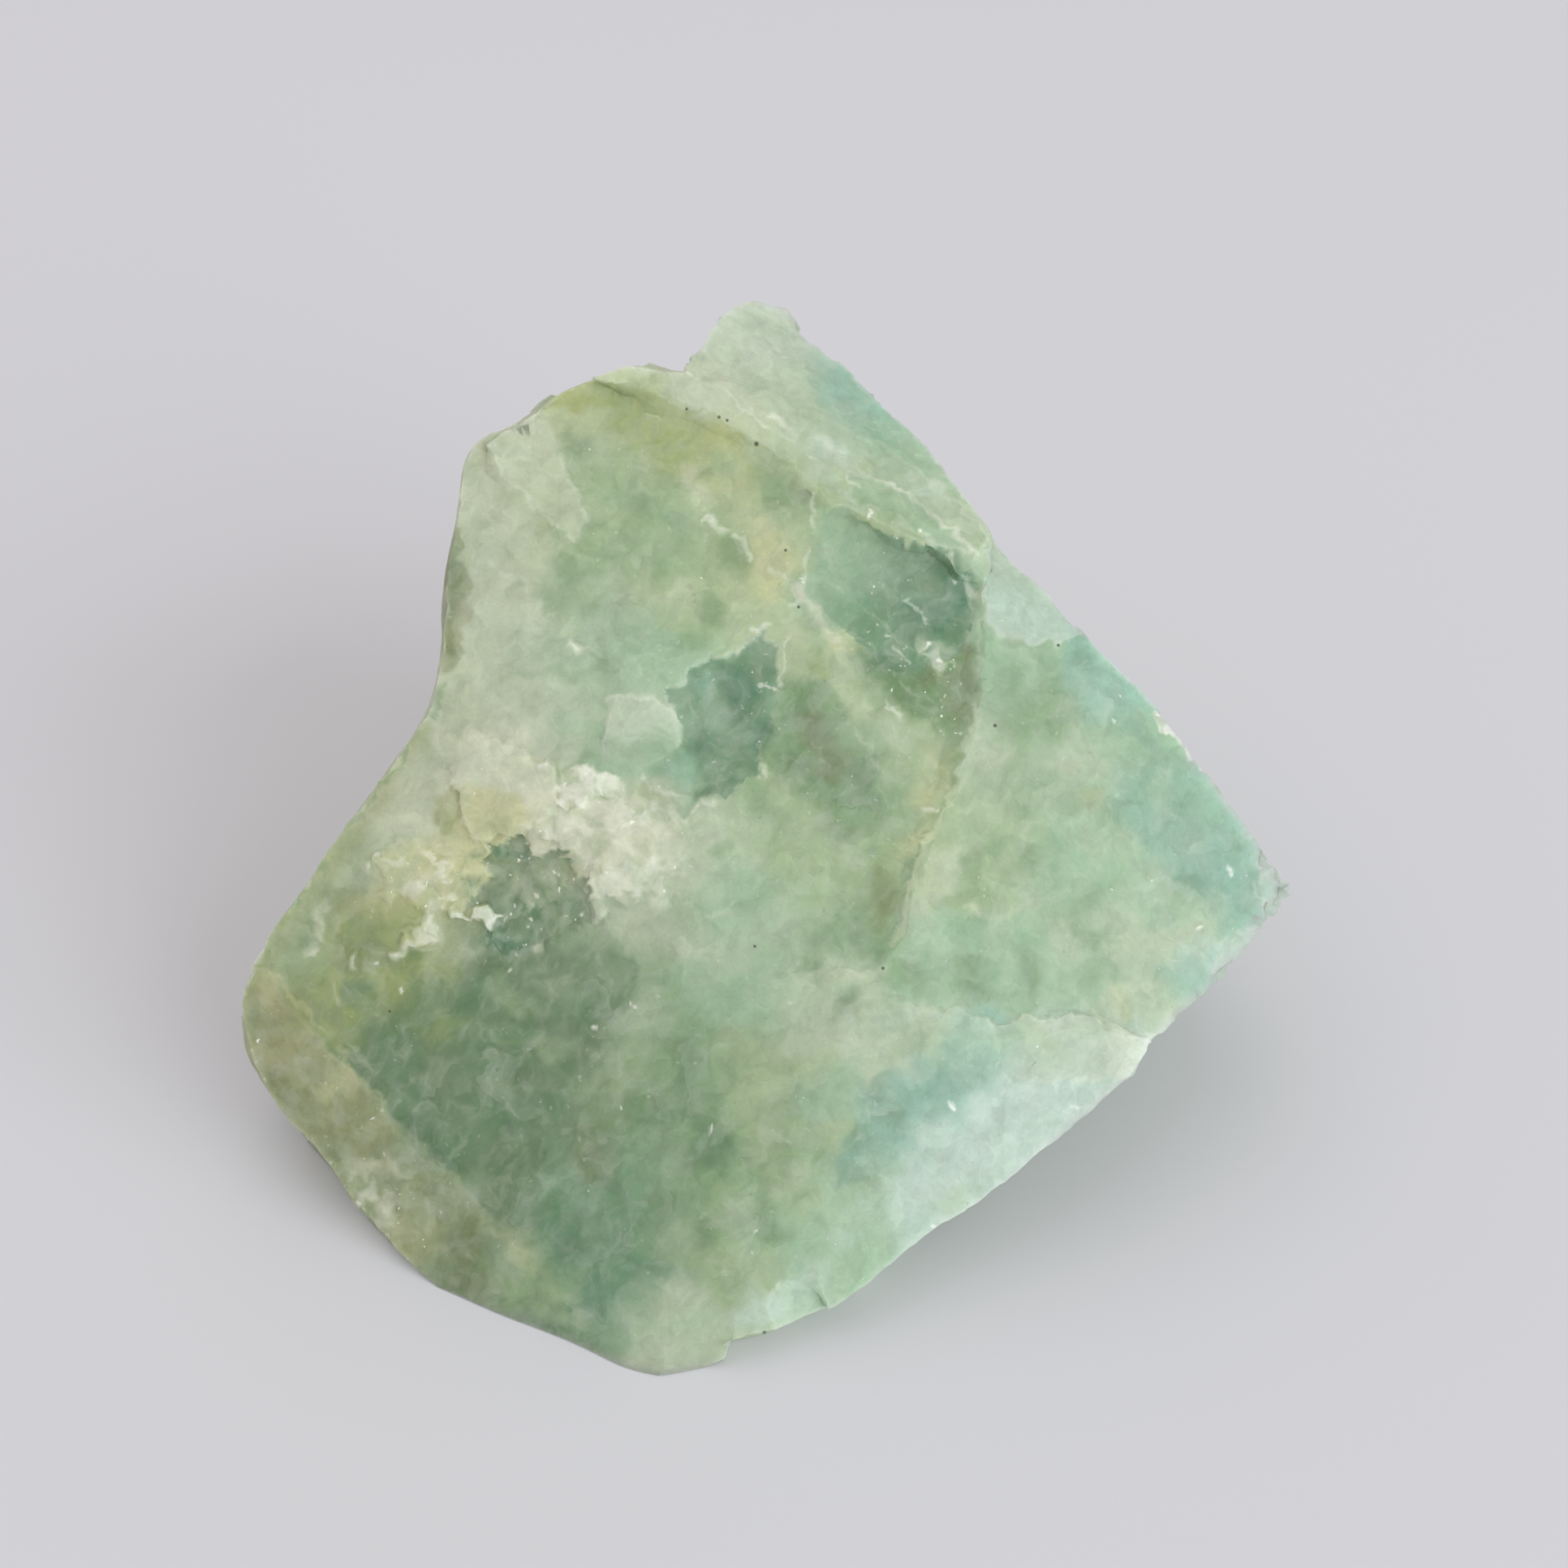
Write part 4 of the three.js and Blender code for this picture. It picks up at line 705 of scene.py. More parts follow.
PATCHES = (
    # pale flake under the left of the crest, then the one below it
    Patch((
        (-18.6, 21.5), (-16.3, 22.3), (-14.7, 22.3), (-14, 20.7), (-13.4, 19.6), (-12.8, 18.1),
        (-12.4, 16.9), (-12.4, 16), (-12.9, 15.2), (-13.6, 15.7), (-15.3, 16.9), (-17.1, 18.6),
        (-18.4, 20.2),
    ), Tint.PALE, 0.8, 0.2, ((-14.4, 18.4), (-19.6, 21.6)), 0.25),
    Patch((
        (-18.8, 13.8), (-17.4, 13.2), (-16.6, 12.3), (-15.1, 11.3), (-14.7, 10.3), (-15.8, 8.8),
        (-18.3, 8.3), (-20.2, 9.3), (-20, 12.3),
    ), Tint.PALE, 0.75, 0.3, ((-16.6, 12.2), (-18.6, 8.6)), 0.2),
    # olive band that the crest shows through
    Patch((
        (-14.6, 23), (-11.8, 24.6), (-8.2, 24.4), (-5.6, 22.6), (-2.2, 20.6), (0.4, 18.8), (-1.4, 17.4),
        (-4.6, 18.6), (-8, 20.8), (-11.4, 22.6),
    ), Tint.MOSS, 0.42, 0.8, ((-8.2, 22.2), (1.2, 17.4))),
    # pale band between the dark line and the rim, and the thin strips along it
    Patch((
        (-9.4, 24.5), (-6.3, 23.2), (-4, 22.5), (-1.7, 20.9), (0.5, 19.2), (1.9, 17.7), (4, 16.9),
        (4.6, 19), (0.4, 22), (-3.3, 24.2), (-6, 25.4),
    ), Tint.PALE, 0.55, 0.25, ((-5, 24), (2.6, 18.6))),
    Patch((
        (3.9, 17.6), (7.6, 15.8), (9.7, 14.9), (12, 14.2), (9.6, 16.2), (6.4, 18.4), (3.8, 19.4),
    ), Tint.SEA, 0.6, 0.25, None, 0.25),
    Patch((
        (-2.4, 24), (0.6, 21.9), (3.2, 20.1), (6.4, 18.5), (9.6, 16.3), (12.3, 13.9), (12.9, 15),
        (9.9, 18), (6.4, 20.6), (1.2, 23),
    ), Tint.MINT, 0.5, 0.3, ((9, 17), (-1, 23.4)), 0.25),
    # teal hollow left of the long ledge
    Patch((
        (2.9, 17), (3.7, 16.9), (5.2, 15.8), (7.7, 14.6), (9.7, 14.8), (10.4, 14), (10.7, 12.6),
        (11.6, 11.6), (11.5, 9.6), (10.9, 8), (8, 6.4), (5.4, 7.6), (2.6, 10.4), (1, 13.2), (1.4, 15.6),
    ), Tint.POOL, 0.95, 0.15, ((7, 12), (0.2, 13)), 0.2, 0, 0.5, -0.1, 0.12),
    Patch((
        (6, 12.8), (9, 13.6), (11.2, 11.4), (11.3, 9.2), (9.4, 8.2), (6.6, 9.2),
    ), Tint.DEEP, 0.75, 1.6, None, 0, 0, 0.5),
    # olive floor below the hollow, up to the long ledge
    Patch((
        (5.6, 8.6), (8.4, 6.9), (10.9, 8.2), (11.8, 6.8), (11.7, 5), (11.3, 3.2), (10.6, 2.4),
        (10.4, 0.2), (8.6, 3.8), (6.6, 5.2), (5, 7),
    ), Tint.MOSSPOOL, 0.7, 0.5, None, 0, 0.1, 0.8),
    Patch((
        (4.6, 2.2), (6.2, 0.6), (9.4, -1.8), (8.6, -2.9), (7.9, -5), (7.2, -8.2), (6.4, -9.7),
        (5.6, -7), (4.8, -3),
    ), Tint.LEAF, 0.5, 0.8, ((7.4, -5), (5, 2.4))),
    # deep green wedge right of the square plate
    Patch((
        (-6.9, 5.6), (-5.8, 6.8), (-4.5, 7.7), (-2.5, 8.5), (-1.2, 9.6), (-0.6, 8.4), (-0.3, 5.5),
        (-0.5, 4.2), (-1.1, 3.2), (-1.3, 0.7), (-2.8, 0), (-3.5, -0.9), (-4.8, -0.7), (-5.9, -1.9),
        (-7.3, -1.6), (-8.9, -0.7), (-8.3, 1.3), (-7.3, 1.6), (-6.4, 2.5), (-6.2, 3.9),
    ), Tint.POOL, 0.9, 0.15, ((-3.6, 3.4), (-10.2, -0.8)), 0.2, 0, 0.6, -0.1, 0.15),
    Patch((
        (-4.2, 7.2), (-2.2, 7.8), (-1.6, 5.2), (-2.2, 3.4), (-3.8, 4.4),
    ), Tint.DEEP, 0.6, 0.9, None, 0, 0, 0.5),
    Patch((
        (-6.2, 2.4), (-3.4, 3), (-1.6, 1.8), (-2, 0.2), (-4, -0.4), (-5.6, 0.8),
    ), Tint.DEEP, 0.45, 0.6, None, 0, 0, 0.3),
    # square-cornered pale plate
    Patch((
        (-10.7, 5.5), (-8.7, 5.4), (-7.8, 5), (-6.5, 4.4), (-6.4, 3.4), (-6.5, 2.2), (-5.8, 1.1),
        (-7.4, 0.7), (-9.4, 0.6), (-11.4, 0.8), (-11.1, 2.8),
    ), Tint.MILK, 0.8, 0.1, ((-9.6, 4.4), (-8.6, 0.6)), 0.35, 0, 0.1, 0.06, 0, 0.2),
    # yellow lump beside the waist
    Patch((
        (-19.3, 3.4), (-20.8, 0.3), (-19.9, -1.9), (-19.3, -2.9), (-18.2, -3.5), (-16.1, -3.1),
        (-15.3, -2.7), (-14.8, -1.9), (-13.8, -1.2), (-14.2, 0.8), (-15, 1.4), (-16.4, 2.4),
        (-18.1, 2.8),
    ), Tint.CREAM, 0.75, 0.2, ((-17, 0), (-20.6, 4.4)), 0.1, 0.15, 0.1, 0.3, 0.2),
    Patch((
        (-20.4, 0), (-19.9, -1.9), (-19.3, -2.9), (-18.2, -3.5), (-16.1, -3.1), (-15.6, -1.6),
        (-17.6, -0.4),
    ), Tint.STRAW, 0.8, 0.9),
    Patch((
        (-21.3, -0.5), (-20.4, -0.1), (-20, -0.9), (-19.9, -2.2), (-20.2, -3), (-20.9, -3.2),
        (-21.7, -2.2),
    ), Tint.OLIVE, 0.7, 0.3),
    # white crust from the lump to the crack
    Patch((
        (-13.8, 1.1), (-11.8, 0.9), (-10.9, 0.4), (-9.9, -0.9), (-8.2, -1.6), (-7.4, -2.2),
        (-5.7, -2.6), (-4.7, -2), (-3.3, -2.3), (-2.8, -4.8), (-3, -6.4), (-5.3, -7.2), (-8.3, -6.9),
        (-10.6, -7.4), (-11.6, -6.9), (-12, -5.9), (-13.4, -5.1), (-14.3, -3.9), (-15.5, -3.1),
        (-14.8, -1.9), (-13.8, -1.2),
    ), Tint.CREAM, 0.8, 0.3, ((-11.4, -3.6), (-3.4, -6.2)), 0.12, 0.6, 0.3, 0.12, 0.7),
    Patch((
        (-14.4, 1), (-13, 0.2), (-11.6, 1), (-10.6, 0.4), (-11.6, -0.8), (-12.6, -1.6), (-13.8, -1),
    ), Tint.FROST, 0.6, 0.3, None, 0, 0.8, 0.3, 0.1, 0.5),
    Patch((
        (-9.8, -1.2), (-8, -1.6), (-6.8, -2.4), (-8.4, -2.9),
    ), Tint.FROST, 0.45, 0.5, None, 0, 0.5, 0.3, 0.05, 0.4),
    Patch((
        (-12, -6.4), (-10, -4.9), (-6.4, -4.7), (-4.6, -5.4), (-7.6, -6), (-9.6, -6.6), (-11.6, -8.4),
    ), Tint.FROST, 0.45, 0.4, ((-10.4, -6), (-4.6, -5.4)), 0, 0.5, 0.2, 0.1, 0.5),
    # dark green pocket under the crust, and the white chip in it
    Patch((
        (-16.9, -3.4), (-15.7, -3.6), (-14.1, -4), (-13.2, -5.5), (-12.3, -5.9), (-11.8, -7.7),
        (-12.3, -8.9), (-13.8, -9.7), (-14.8, -10.7), (-17.2, -11.1), (-18.2, -10.7), (-18.5, -9.1),
        (-17.9, -8.4), (-18.1, -7.7), (-19.3, -7.7), (-19.8, -8.1), (-19.4, -7), (-18.7, -6.2),
        (-18.3, -5.4), (-18.6, -4.7),
    ), Tint.FERN, 0.75, 0.25, ((-15.4, -8), (-12.6, -12.6)), 0, 0.3, 0.8, -0.2, 0.4),
    Patch((
        (-17.4, -8.6), (-15.4, -7.6), (-13.4, -8), (-14.6, -10.2), (-16.8, -10.6),
    ), Tint.DEEP, 0.4, 0.9, None, 0, 0.3, 0.8, -0.1, 0.5),
    Patch((
        (-20.8, -8.1), (-20.2, -8.4), (-19.4, -8.4), (-18.1, -8.9), (-17.9, -8.4), (-17.6, -7.8),
        (-18.7, -7.5), (-19.4, -8), (-20.1, -8.1),
    ), Tint.FROST, 0.85, 0.15, None, 0, 0.6, 0.2, 0.35, 0.15),
    # cream crust at the left end, ending in steps
    Patch((
        (-25, -4), (-22, -4.4), (-19.6, -5.6), (-20.4, -7.4), (-21.6, -8.6), (-21.8, -10), (-24, -10.4),
        (-24.2, -9.8), (-22.8, -9.4), (-22.9, -7.9), (-24.6, -6.6),
    ), Tint.STRAW, 0.55, 0.3, None, 0.1, 0.6, 0.3, 0.2, 0.7),
    Patch((
        (-28.2, -6.8), (-27.8, -7.6), (-28.4, -9), (-28.6, -10.6), (-29.4, -10.6), (-29, -8.8),
    ), Tint.CREAM, 0.55, 0.25, None, 0, 0.2),
    # narrow olive side seen past the waist, its olive darkened as painted shade where it turns away
    Patch((
        (-24, 12.4), (-22, 20), (-20.2, 17.4), (-19.9, 14.3), (-19.5, 12.9), (-19.5, 10.2),
        (-19.7, 8.2), (-20.5, 6.9), (-24, 6.4),
    ), Tint.BARK, 0.75, 0.25),
    # dull strip along the left margin: painted shade where the surface falls away
    Patch((
        (-35, -12), (-31.6, -12), (-29.2, -8), (-24.9, -2.2), (-21.4, 3.2), (-23.4, 4.6), (-28, -1),
        (-33, -7),
    ), Tint.KHAKI, 0.4, 0.8),
    # bevel down to the floor at the lower left
    Patch((
        (-34, -11), (-32, -11.6), (-28.3, -16.2), (-24.8, -19.7), (-20.3, -24.2), (-15.3, -29.7),
        (-11.8, -31.4), (-13.6, -36), (-26, -30), (-34, -20),
    ), Tint.KHAKI, 0.75, 0.2, ((-27, -20), (-12.4, -34)), 0.1, 0.15, 0.2, 0, 0, 0.3),
    Patch((
        (-27.6, -24.3), (-26, -24.2), (-23.4, -24.6), (-21.6, -25.6), (-20.4, -28), (-20.8, -31),
        (-25.4, -27.6),
    ), Tint.CREAM, 0.25, 0.5, ((-25.8, -25), (-20.6, -29.8)), 0, 0.5, 0.6),
    Patch((
        (-19.2, -26.6), (-16.2, -29.4), (-14, -31.8), (-17, -33.4), (-19.6, -31), (-19.6, -28.6),
    ), Tint.LEAF, 0.5, 0.5),
    # apron below the cross ledge
    Patch((
        (6.1, -12.4), (8.2, -13.6), (10.7, -14), (12.8, -14.7), (14.8, -14.4), (17.2, -14.4),
        (20.2, -14.8), (22.4, -15.9), (22, -18), (12.6, -18.4), (6.6, -17.4), (4.6, -14.6),
    ), Tint.MILK, 0.55, 0.2, ((14.8, -14.6), (11, -19)), 0.35, 0, 0, 0.08),
    Patch((
        (5.5, -17.8), (4.9, -19.6), (4.1, -21.6), (3.4, -23.4), (3.2, -24.6), (5, -24.6), (7.6, -22.6),
        (10.6, -20.6), (13, -17.6), (9, -16.8),
    ), Tint.TEAL, 0.42, 0.25, ((3.8, -21.2), (11, -20.4))),
    Patch((
        (19.2, -14.7), (20.6, -14.9), (22.6, -15.8), (22.2, -17.4), (20.6, -18.2), (18.8, -16.6),
    ), Tint.FROST, 0.45, 0.5, ((21.8, -16.2), (18.6, -16.2)), 0, 0.1),
    Patch((
        (-0.8, -33.6), (-1.1, -31.6), (-0.3, -30.7), (1.6, -30.2), (4, -31), (5.2, -33.6),
    ), Tint.ICE, 0.5, 0.2, ((-0.4, -31.4), (4.4, -32.4)), 0.3),
    # pale triangle on the prism edge, chips along the edge and at the right corner
    Patch((
        (12.3, 12.2), (12.2, 10.8), (13.3, 9.5), (14.8, 8.7), (15.9, 8.8), (16.8, 8.6), (18.8, 9.4),
        (20, 12.6), (14, 17), (12.6, 14.6),
    ), Tint.ICE, 0.8, 0.15, ((14.6, 10.6), (15.2, 18)), 0.2),
    Patch((
        (22.7, 4.5), (23.6, 4.4), (25.4, 2.4), (26.4, 0.6), (25.6, 0.8), (24, 2.6), (22.8, 3.9),
    ), Tint.FROST, 0.75, 0.15, None, 0, 0.8, 0.6),
    Patch((
        (29.9, -3), (31, -3.4), (33.4, -6), (30.8, -8.8), (30.2, -8.2), (29.5, -7.6), (29.3, -5.8),
    ), Tint.ICE, 0.6, 0.2, None, 0.3),
    Patch((
        (27.3, -9.4), (28.6, -8.9), (30.2, -8.8), (29.6, -11.6), (27.6, -13), (26.4, -11.4),
    ), Tint.MILK, 0.5, 0.2, None, 0.2),
)

# painted glints, short bright dashes: both ends, then half width in millimetres
GLINT_DASHES = (
    (10.1, -19.9, 10.3, -20.1, 0.15), (18, -19.8, 18.1, -20.1, 0.15), (27.4, -5.2, 27.5, -5.5, 0.14),
    (25.4, -8.8, 25.7, -8.9, 0.1), (9.3, -27, 9.6, -27.1, 0.1), (8.7, -26.9, 8.8, -27, 0.07),
    (-1.9, -27.6, -1.8, -27.7, 0.07), (-2, -28.9, -1.9, -29, 0.07), (12.4, -25.2, 12.6, -25.3, 0.07),
    (22.5, -5.8, 22.7, -5.9, 0.07), (20.4, 4, 20.3, 3.8, 0.07), (-25.3, -11, -25.2, -11.2, 0.07),
    (-23.8, -12.8, -23.7, -13, 0.07), (-17, -11.4, -16.8, -11.6, 0.07),
    (-9.4, -13.6, -9.3, -13.7, 0.07), (-11.9, -14.9, -11.7, -15.1, 0.07),
    (-23.8, -17.2, -23.7, -17.4, 0.07), (-25.2, -20.6, -25, -20.8, 0.1),
    (-10.4, -19.9, -10.3, -20.2, 0.07), (-12.8, -21.6, -12.7, -21.8, 0.07),
    (-4.7, -21.2, -4.5, -21.4, 0.07), (-2.6, -19.6, -2.4, -19.8, 0.07),
    (-14.4, -5.6, -14.2, -5.8, 0.09), (-13.5, -6.2, -13.4, -6.3, 0.07),
    (-15.6, -7.6, -15.4, -7.7, 0.07), (-14.2, -8, -14.1, -8.1, 0.07), (-12.7, -8, -12.6, -8.2, 0.07),
    (7.7, 10.3, 7.9, 10.1, 0.07), (8.8, 9, 8.9, 8.8, 0.07), (6.4, 9.1, 6.6, 9, 0.07),
    (9.6, 7.6, 9.8, 7.5, 0.09), (11, 6.2, 11.1, 6.1, 0.07), (5, 16.6, 5.2, 16.5, 0.07),
    (0.9, 12.6, 1, 12.4, 0.09), (-4.4, -0.4, -4.3, -0.6, 0.07), (-3, 6.9, -2.9, 6.8, 0.07),
    (-17.6, 5.6, -17.5, 5.5, 0.07), (-0.6, 21.6, -0.4, 21.5, 0.1), (8.6, 15.6, 8.8, 15.5, 0.07),
    (6.9, 21.2, 7, 21.1, 0.07),
)

STREAKS = (
    # dark line under the rim band, pale line above it
    Streak(((-9.3, 24.4), (-6.3, 23.2), (-4, 22.6), (-1.7, 21), (0.5, 19.3), (1.9, 17.8)),
            Tint.MOSS, 0.16, 0.6, 0.2),
    Streak(((-5.9, 25.3), (-3.3, 23.8), (-0.8, 21.9), (1.7, 20.3), (4.7, 18.3)),
            Tint.FROST, 0.14, 0.5, 0.4),
    Streak(((3.9, 17.7), (7.7, 15.9), (9.7, 14.9)), Tint.PALE, 0.1, 0.4, 0.4),
    Streak(((6.3, 18.6), (9, 16.9), (11, 15.2), (12.2, 14.2)), Tint.FROST, 0.13, 0.5, 0.35),
    Streak(((0.6, 22.2), (2.2, 21.3), (3.4, 20.5)), Tint.FROST, 0.3, 0.45, 0.4),
    # crack from the rim down to the cream streak and on to the small ledge
    Streak(((1.9, 17.7), (1.7, 15.6), (1.3, 13.4), (0.9, 11.8)), Tint.FROST, 0.16, 0.6, 0.35),
    Streak(((0.9, 11.4), (0.2, 9.4), (0, 7.2), (-0.6, 5.4), (-0.9, 2.2), (-1.1, 0.4)),
            Tint.FROST, 0.14, 0.6, 0.4),
    Streak(((0.8, 11.9), (1.8, 10.6), (3, 8.9)), Tint.CREAM, 0.45, 0.9, 0.05),
    Streak(((-0.8, 13.2), (0.8, 11.8)), Tint.FROST, 0.3, 0.5, 0.2),
    Streak(((3, 8.9), (4.3, 7.2), (5.4, 5.6)), Tint.REED, 0.6, 0.4, 0.1),
    Streak(((4.3, 7.4), (6.2, 5.2), (8, 3.3), (9.3, 1.2)), Tint.MINT, 0.5, 0.3, 0.3),
    Streak(((5.4, 6.4), (6, 5.6), (6.6, 4.7), (7.3, 4.2)), Tint.FROST, 0.16, 0.75, 0.5),
    # fine parallel cracks across the cream streak
    Streak(((1.6, 11.6), (3.6, 9.9), (6, 7.6), (8, 5.4), (9.6, 3.6)), Tint.PALE, 0.09, 0.5, 0.45),
    Streak(((0.6, 9.6), (2.6, 7.6), (4.8, 5.2), (7, 2.9)), Tint.PALE, 0.09, 0.5, 0.45),
    Streak(((2.6, 12.4), (5.2, 10.4), (8, 8.2), (10.6, 5.8)), Tint.PALE, 0.09, 0.45, 0.5),
    Streak(((1.2, 7.4), (2.8, 5.4), (4.6, 3), (5.6, 1.2)), Tint.PALE, 0.09, 0.4, 0.45),
    Streak(((4, 3.6), (5.2, 2.2), (6.2, 0.6)), Tint.PALE, 0.09, 0.5, 0.3),
    Streak(((0.4, 5.2), (1.8, 3.2), (2.6, 1.2)), Tint.PALE, 0.09, 0.4, 0.4),
    # short white lines in the hollow
    Streak(((7.7, 11.5), (8.2, 10.7), (8.7, 10.1), (9, 9.6)), Tint.FROST, 0.13, 0.8, 0.2),
    Streak(((6.6, 10.9), (7.4, 9.9), (8.2, 9.2)), Tint.FROST, 0.1, 0.5, 0.5),
    Streak(((7, 8.3), (7.5, 7.6)), Tint.FROST, 0.12, 0.7, 0.3),
    Streak(((8.6, 8), (9.4, 8.4), (10, 7.8), (11.3, 6.7)), Tint.FROST, 0.14, 0.55, 0.4),
    Streak(((8.9, 8.6), (9.3, 7.8), (9.7, 7.2)), Tint.FROST, 0.42, 0.7, 0.2),
    Streak(((10.3, 14), (10.9, 12.9), (11.4, 12.1), (12, 11.6)), Tint.FROST, 0.3, 0.6, 0.2),
    Streak(((12.3, 12.2), (12, 11.1), (12.2, 9.4), (12.3, 8.8), (11.8, 6.8)),
            Tint.CREAM, 0.16, 0.5, 0.3),
    Streak(((11.7, 5), (11.4, 3.2), (10.7, 2.4), (10.5, 0.1), (9.6, -2), (8.7, -2.9), (8, -5),
            (7.2, -8.2), (6.5, -9.7)), Tint.FERN, 0.1, 0.6, 0.1),
    Streak(((12, 5), (11.7, 3.1), (11, 2.2), (10.8, 0), (9.9, -2.1), (9, -3.1), (8.3, -5.1),
            (7.5, -8.3), (6.8, -9.8)), Tint.CREAM, 0.22, 0.45, 0.15),
    Streak(((6.1, -12.8), (8.2, -13.5), (10.7, -13.9), (12.8, -14.6), (14.8, -14.3), (17.2, -14.3),
            (18.9, -14.2)), Tint.LEAF, 0.12, 0.6, 0.15),
    Streak(((-0.6, -12), (1.3, -11.3), (2.8, -11.1), (4.2, -11.3), (6, -11.3)),
            Tint.LEAF, 0.11, 0.5, 0.2),
    # small white cracks on the upper face
    Streak(((-4.9, 16.3), (-3.5, 15.6), (-2.7, 14.5), (-2.2, 13.9)), Tint.FROST, 0.2, 0.6, 0.2),
    Streak(((-4.9, 15.7), (-5.4, 14.9)), Tint.CREAM, 0.12, 0.5, 0.2),
    Streak(((-2.1, 9.7), (-1.4, 9.5), (-0.8, 9.8)), Tint.FROST, 0.18, 0.7, 0.2),
    Streak(((-9.2, 7.4), (-8.6, 6.6), (-8.2, 6.1)), Tint.CREAM, 0.1, 0.4, 0.2),
    Streak(((-14.9, 12), (-14.2, 10.6), (-13.4, 9.2)), Tint.PALE, 0.12, 0.4, 0.3),
    Streak(((-13.2, 8.4), (-12.2, 8)), Tint.FROST, 0.3, 0.4, 0.3),
    Streak(((-9.3, 23.2), (-8.4, 22.7), (-7.8, 22.3)), Tint.CREAM, 0.18, 0.6, 0.3),
    Streak(((-20.3, 6.6), (-19.6, 8.2), (-19.4, 10.4), (-19.4, 13)), Tint.PALE, 0.2, 0.4, 0.3),
    # dark line along the left outline: painted shade of the side wall that turns away
    Streak(((-20.9, 18), (-20.5, 14), (-20.3, 10), (-20.5, 7)), Tint.PEAT, 0.3, 0.5, 0.1),
    Streak(((-20.9, 5.9), (-21.9, 3.9), (-24.2, 0.6), (-26.6, -2.5), (-28.8, -5.3), (-31, -8.2)),
            Tint.MOSSPOOL, 0.22, 0.55, 0.15),
    # crust edges and the ledge where the broad faces meet
    Streak(((-8.6, 0.3), (-7.4, -0.6), (-6.6, -0.9)), Tint.FROST, 0.2, 0.6, 0.3),
    Streak(((-5.4, -1.7), (-4.6, -1.1), (-3.4, -1.4)), Tint.FROST, 0.16, 0.6, 0.3),
    Streak(((-5.8, -8.2), (-3.6, -7.8), (-2.9, -6.9), (-2.8, -5.4)), Tint.FROST, 0.12, 0.35, 0.4),
    Streak(((2.4, -11.6), (4, -11.5), (5.2, -11.7), (6.1, -11.6)), Tint.CREAM, 0.14, 0.5, 0.3),
    Streak(((4.6, -14), (6.6, -13.9), (9, -14.1), (11.4, -14)), Tint.ICE, 0.14, 0.5, 0.3),
    Streak(((5.6, -18.8), (5, -21), (4.6, -22)), Tint.MILK, 0.14, 0.45, 0.2),
    Streak(((6.2, -16.4), (5.6, -17.6), (4.9, -18.4)), Tint.MILK, 0.2, 0.35, 0.3),
    # lines on the wing
    Streak(((17.3, 4), (18.4, 2.8), (19.6, 1.5), (20.6, 0.2)), Tint.MINT, 0.28, 0.45, 0.3),
    Streak(((22.6, 2.6), (22.2, 1.6), (21.7, 0.4)), Tint.MINT, 0.1, 0.5, 0.2),
    Streak(((28.8, -6.2), (29.4, -7.4), (29.6, -9)), Tint.FROST, 0.16, 0.45, 0.3),
    Streak(((21.8, -6.4), (23.6, -6), (25.4, -7)), Tint.ICE, 0.3, 0.4, 0.5),
    # left end
    Streak(((-32, -11.4), (-30.4, -12.9), (-28.6, -15), (-26.6, -17.6), (-24.8, -19.6)),
            Tint.STRAW, 0.2, 0.6, 0.3),
    Streak(((-25.2, -19.8), (-20.6, -24.5), (-15.6, -30), (-12.6, -33.2)), Tint.SAGE, 0.6, 0.45, 0.15),
    Streak(((-26.6, -10.6), (-26.1, -11.6)), Tint.FROST, 0.1, 0.7, 0),
    Streak(((-28, -12), (-27.6, -13), (-27.4, -13.8)), Tint.CREAM, 0.35, 0.5, 0.3),
    Streak(((-27, -15.6), (-26, -16.8), (-25.4, -17.8)), Tint.CREAM, 0.3, 0.35, 0.5),
    # the painted glints
    *(Streak(((a, b), (c, d)), Tint.GLINT_WHITE, width, 0.9, 0.3) for a, b, c, d, width in GLINT_DASHES),
)

# black specks on the front: place and radius in millimetres
SPECKS = (
    ((-4, 22.6), 0.14), ((-3.5, 22.4), 0.13), ((-1.7, 20.95), 0.2), ((-6, 23.1), 0.12),
    ((-1.2, -33.8), 0.17), ((-1.8, -10), 0.13), ((6.1, -11.35), 0.15), ((16.9, 8.55), 0.14),
    ((0.1, 14.4), 0.13), ((0.9, 10.9), 0.13), ((13, 3.6), 0.16), ((-24.3, -14), 0.12),
)


# ---- The stone -----------------------------------------------------------------------


@dataclass(frozen=True)
class Relief:
    """One scale of unevenness of the worn surface.

    Attributes:
        length: Distance between its swells in millimetres.
        height: Height of its swells in millimetres.
        seed: Picks its pattern.
    """

    length: float
    height: float
    seed: float

    def heights(self, points: np.ndarray) -> np.ndarray:
        """Height at each point, in millimetres."""
        return self.height * ripple(points, self.length, self.seed)


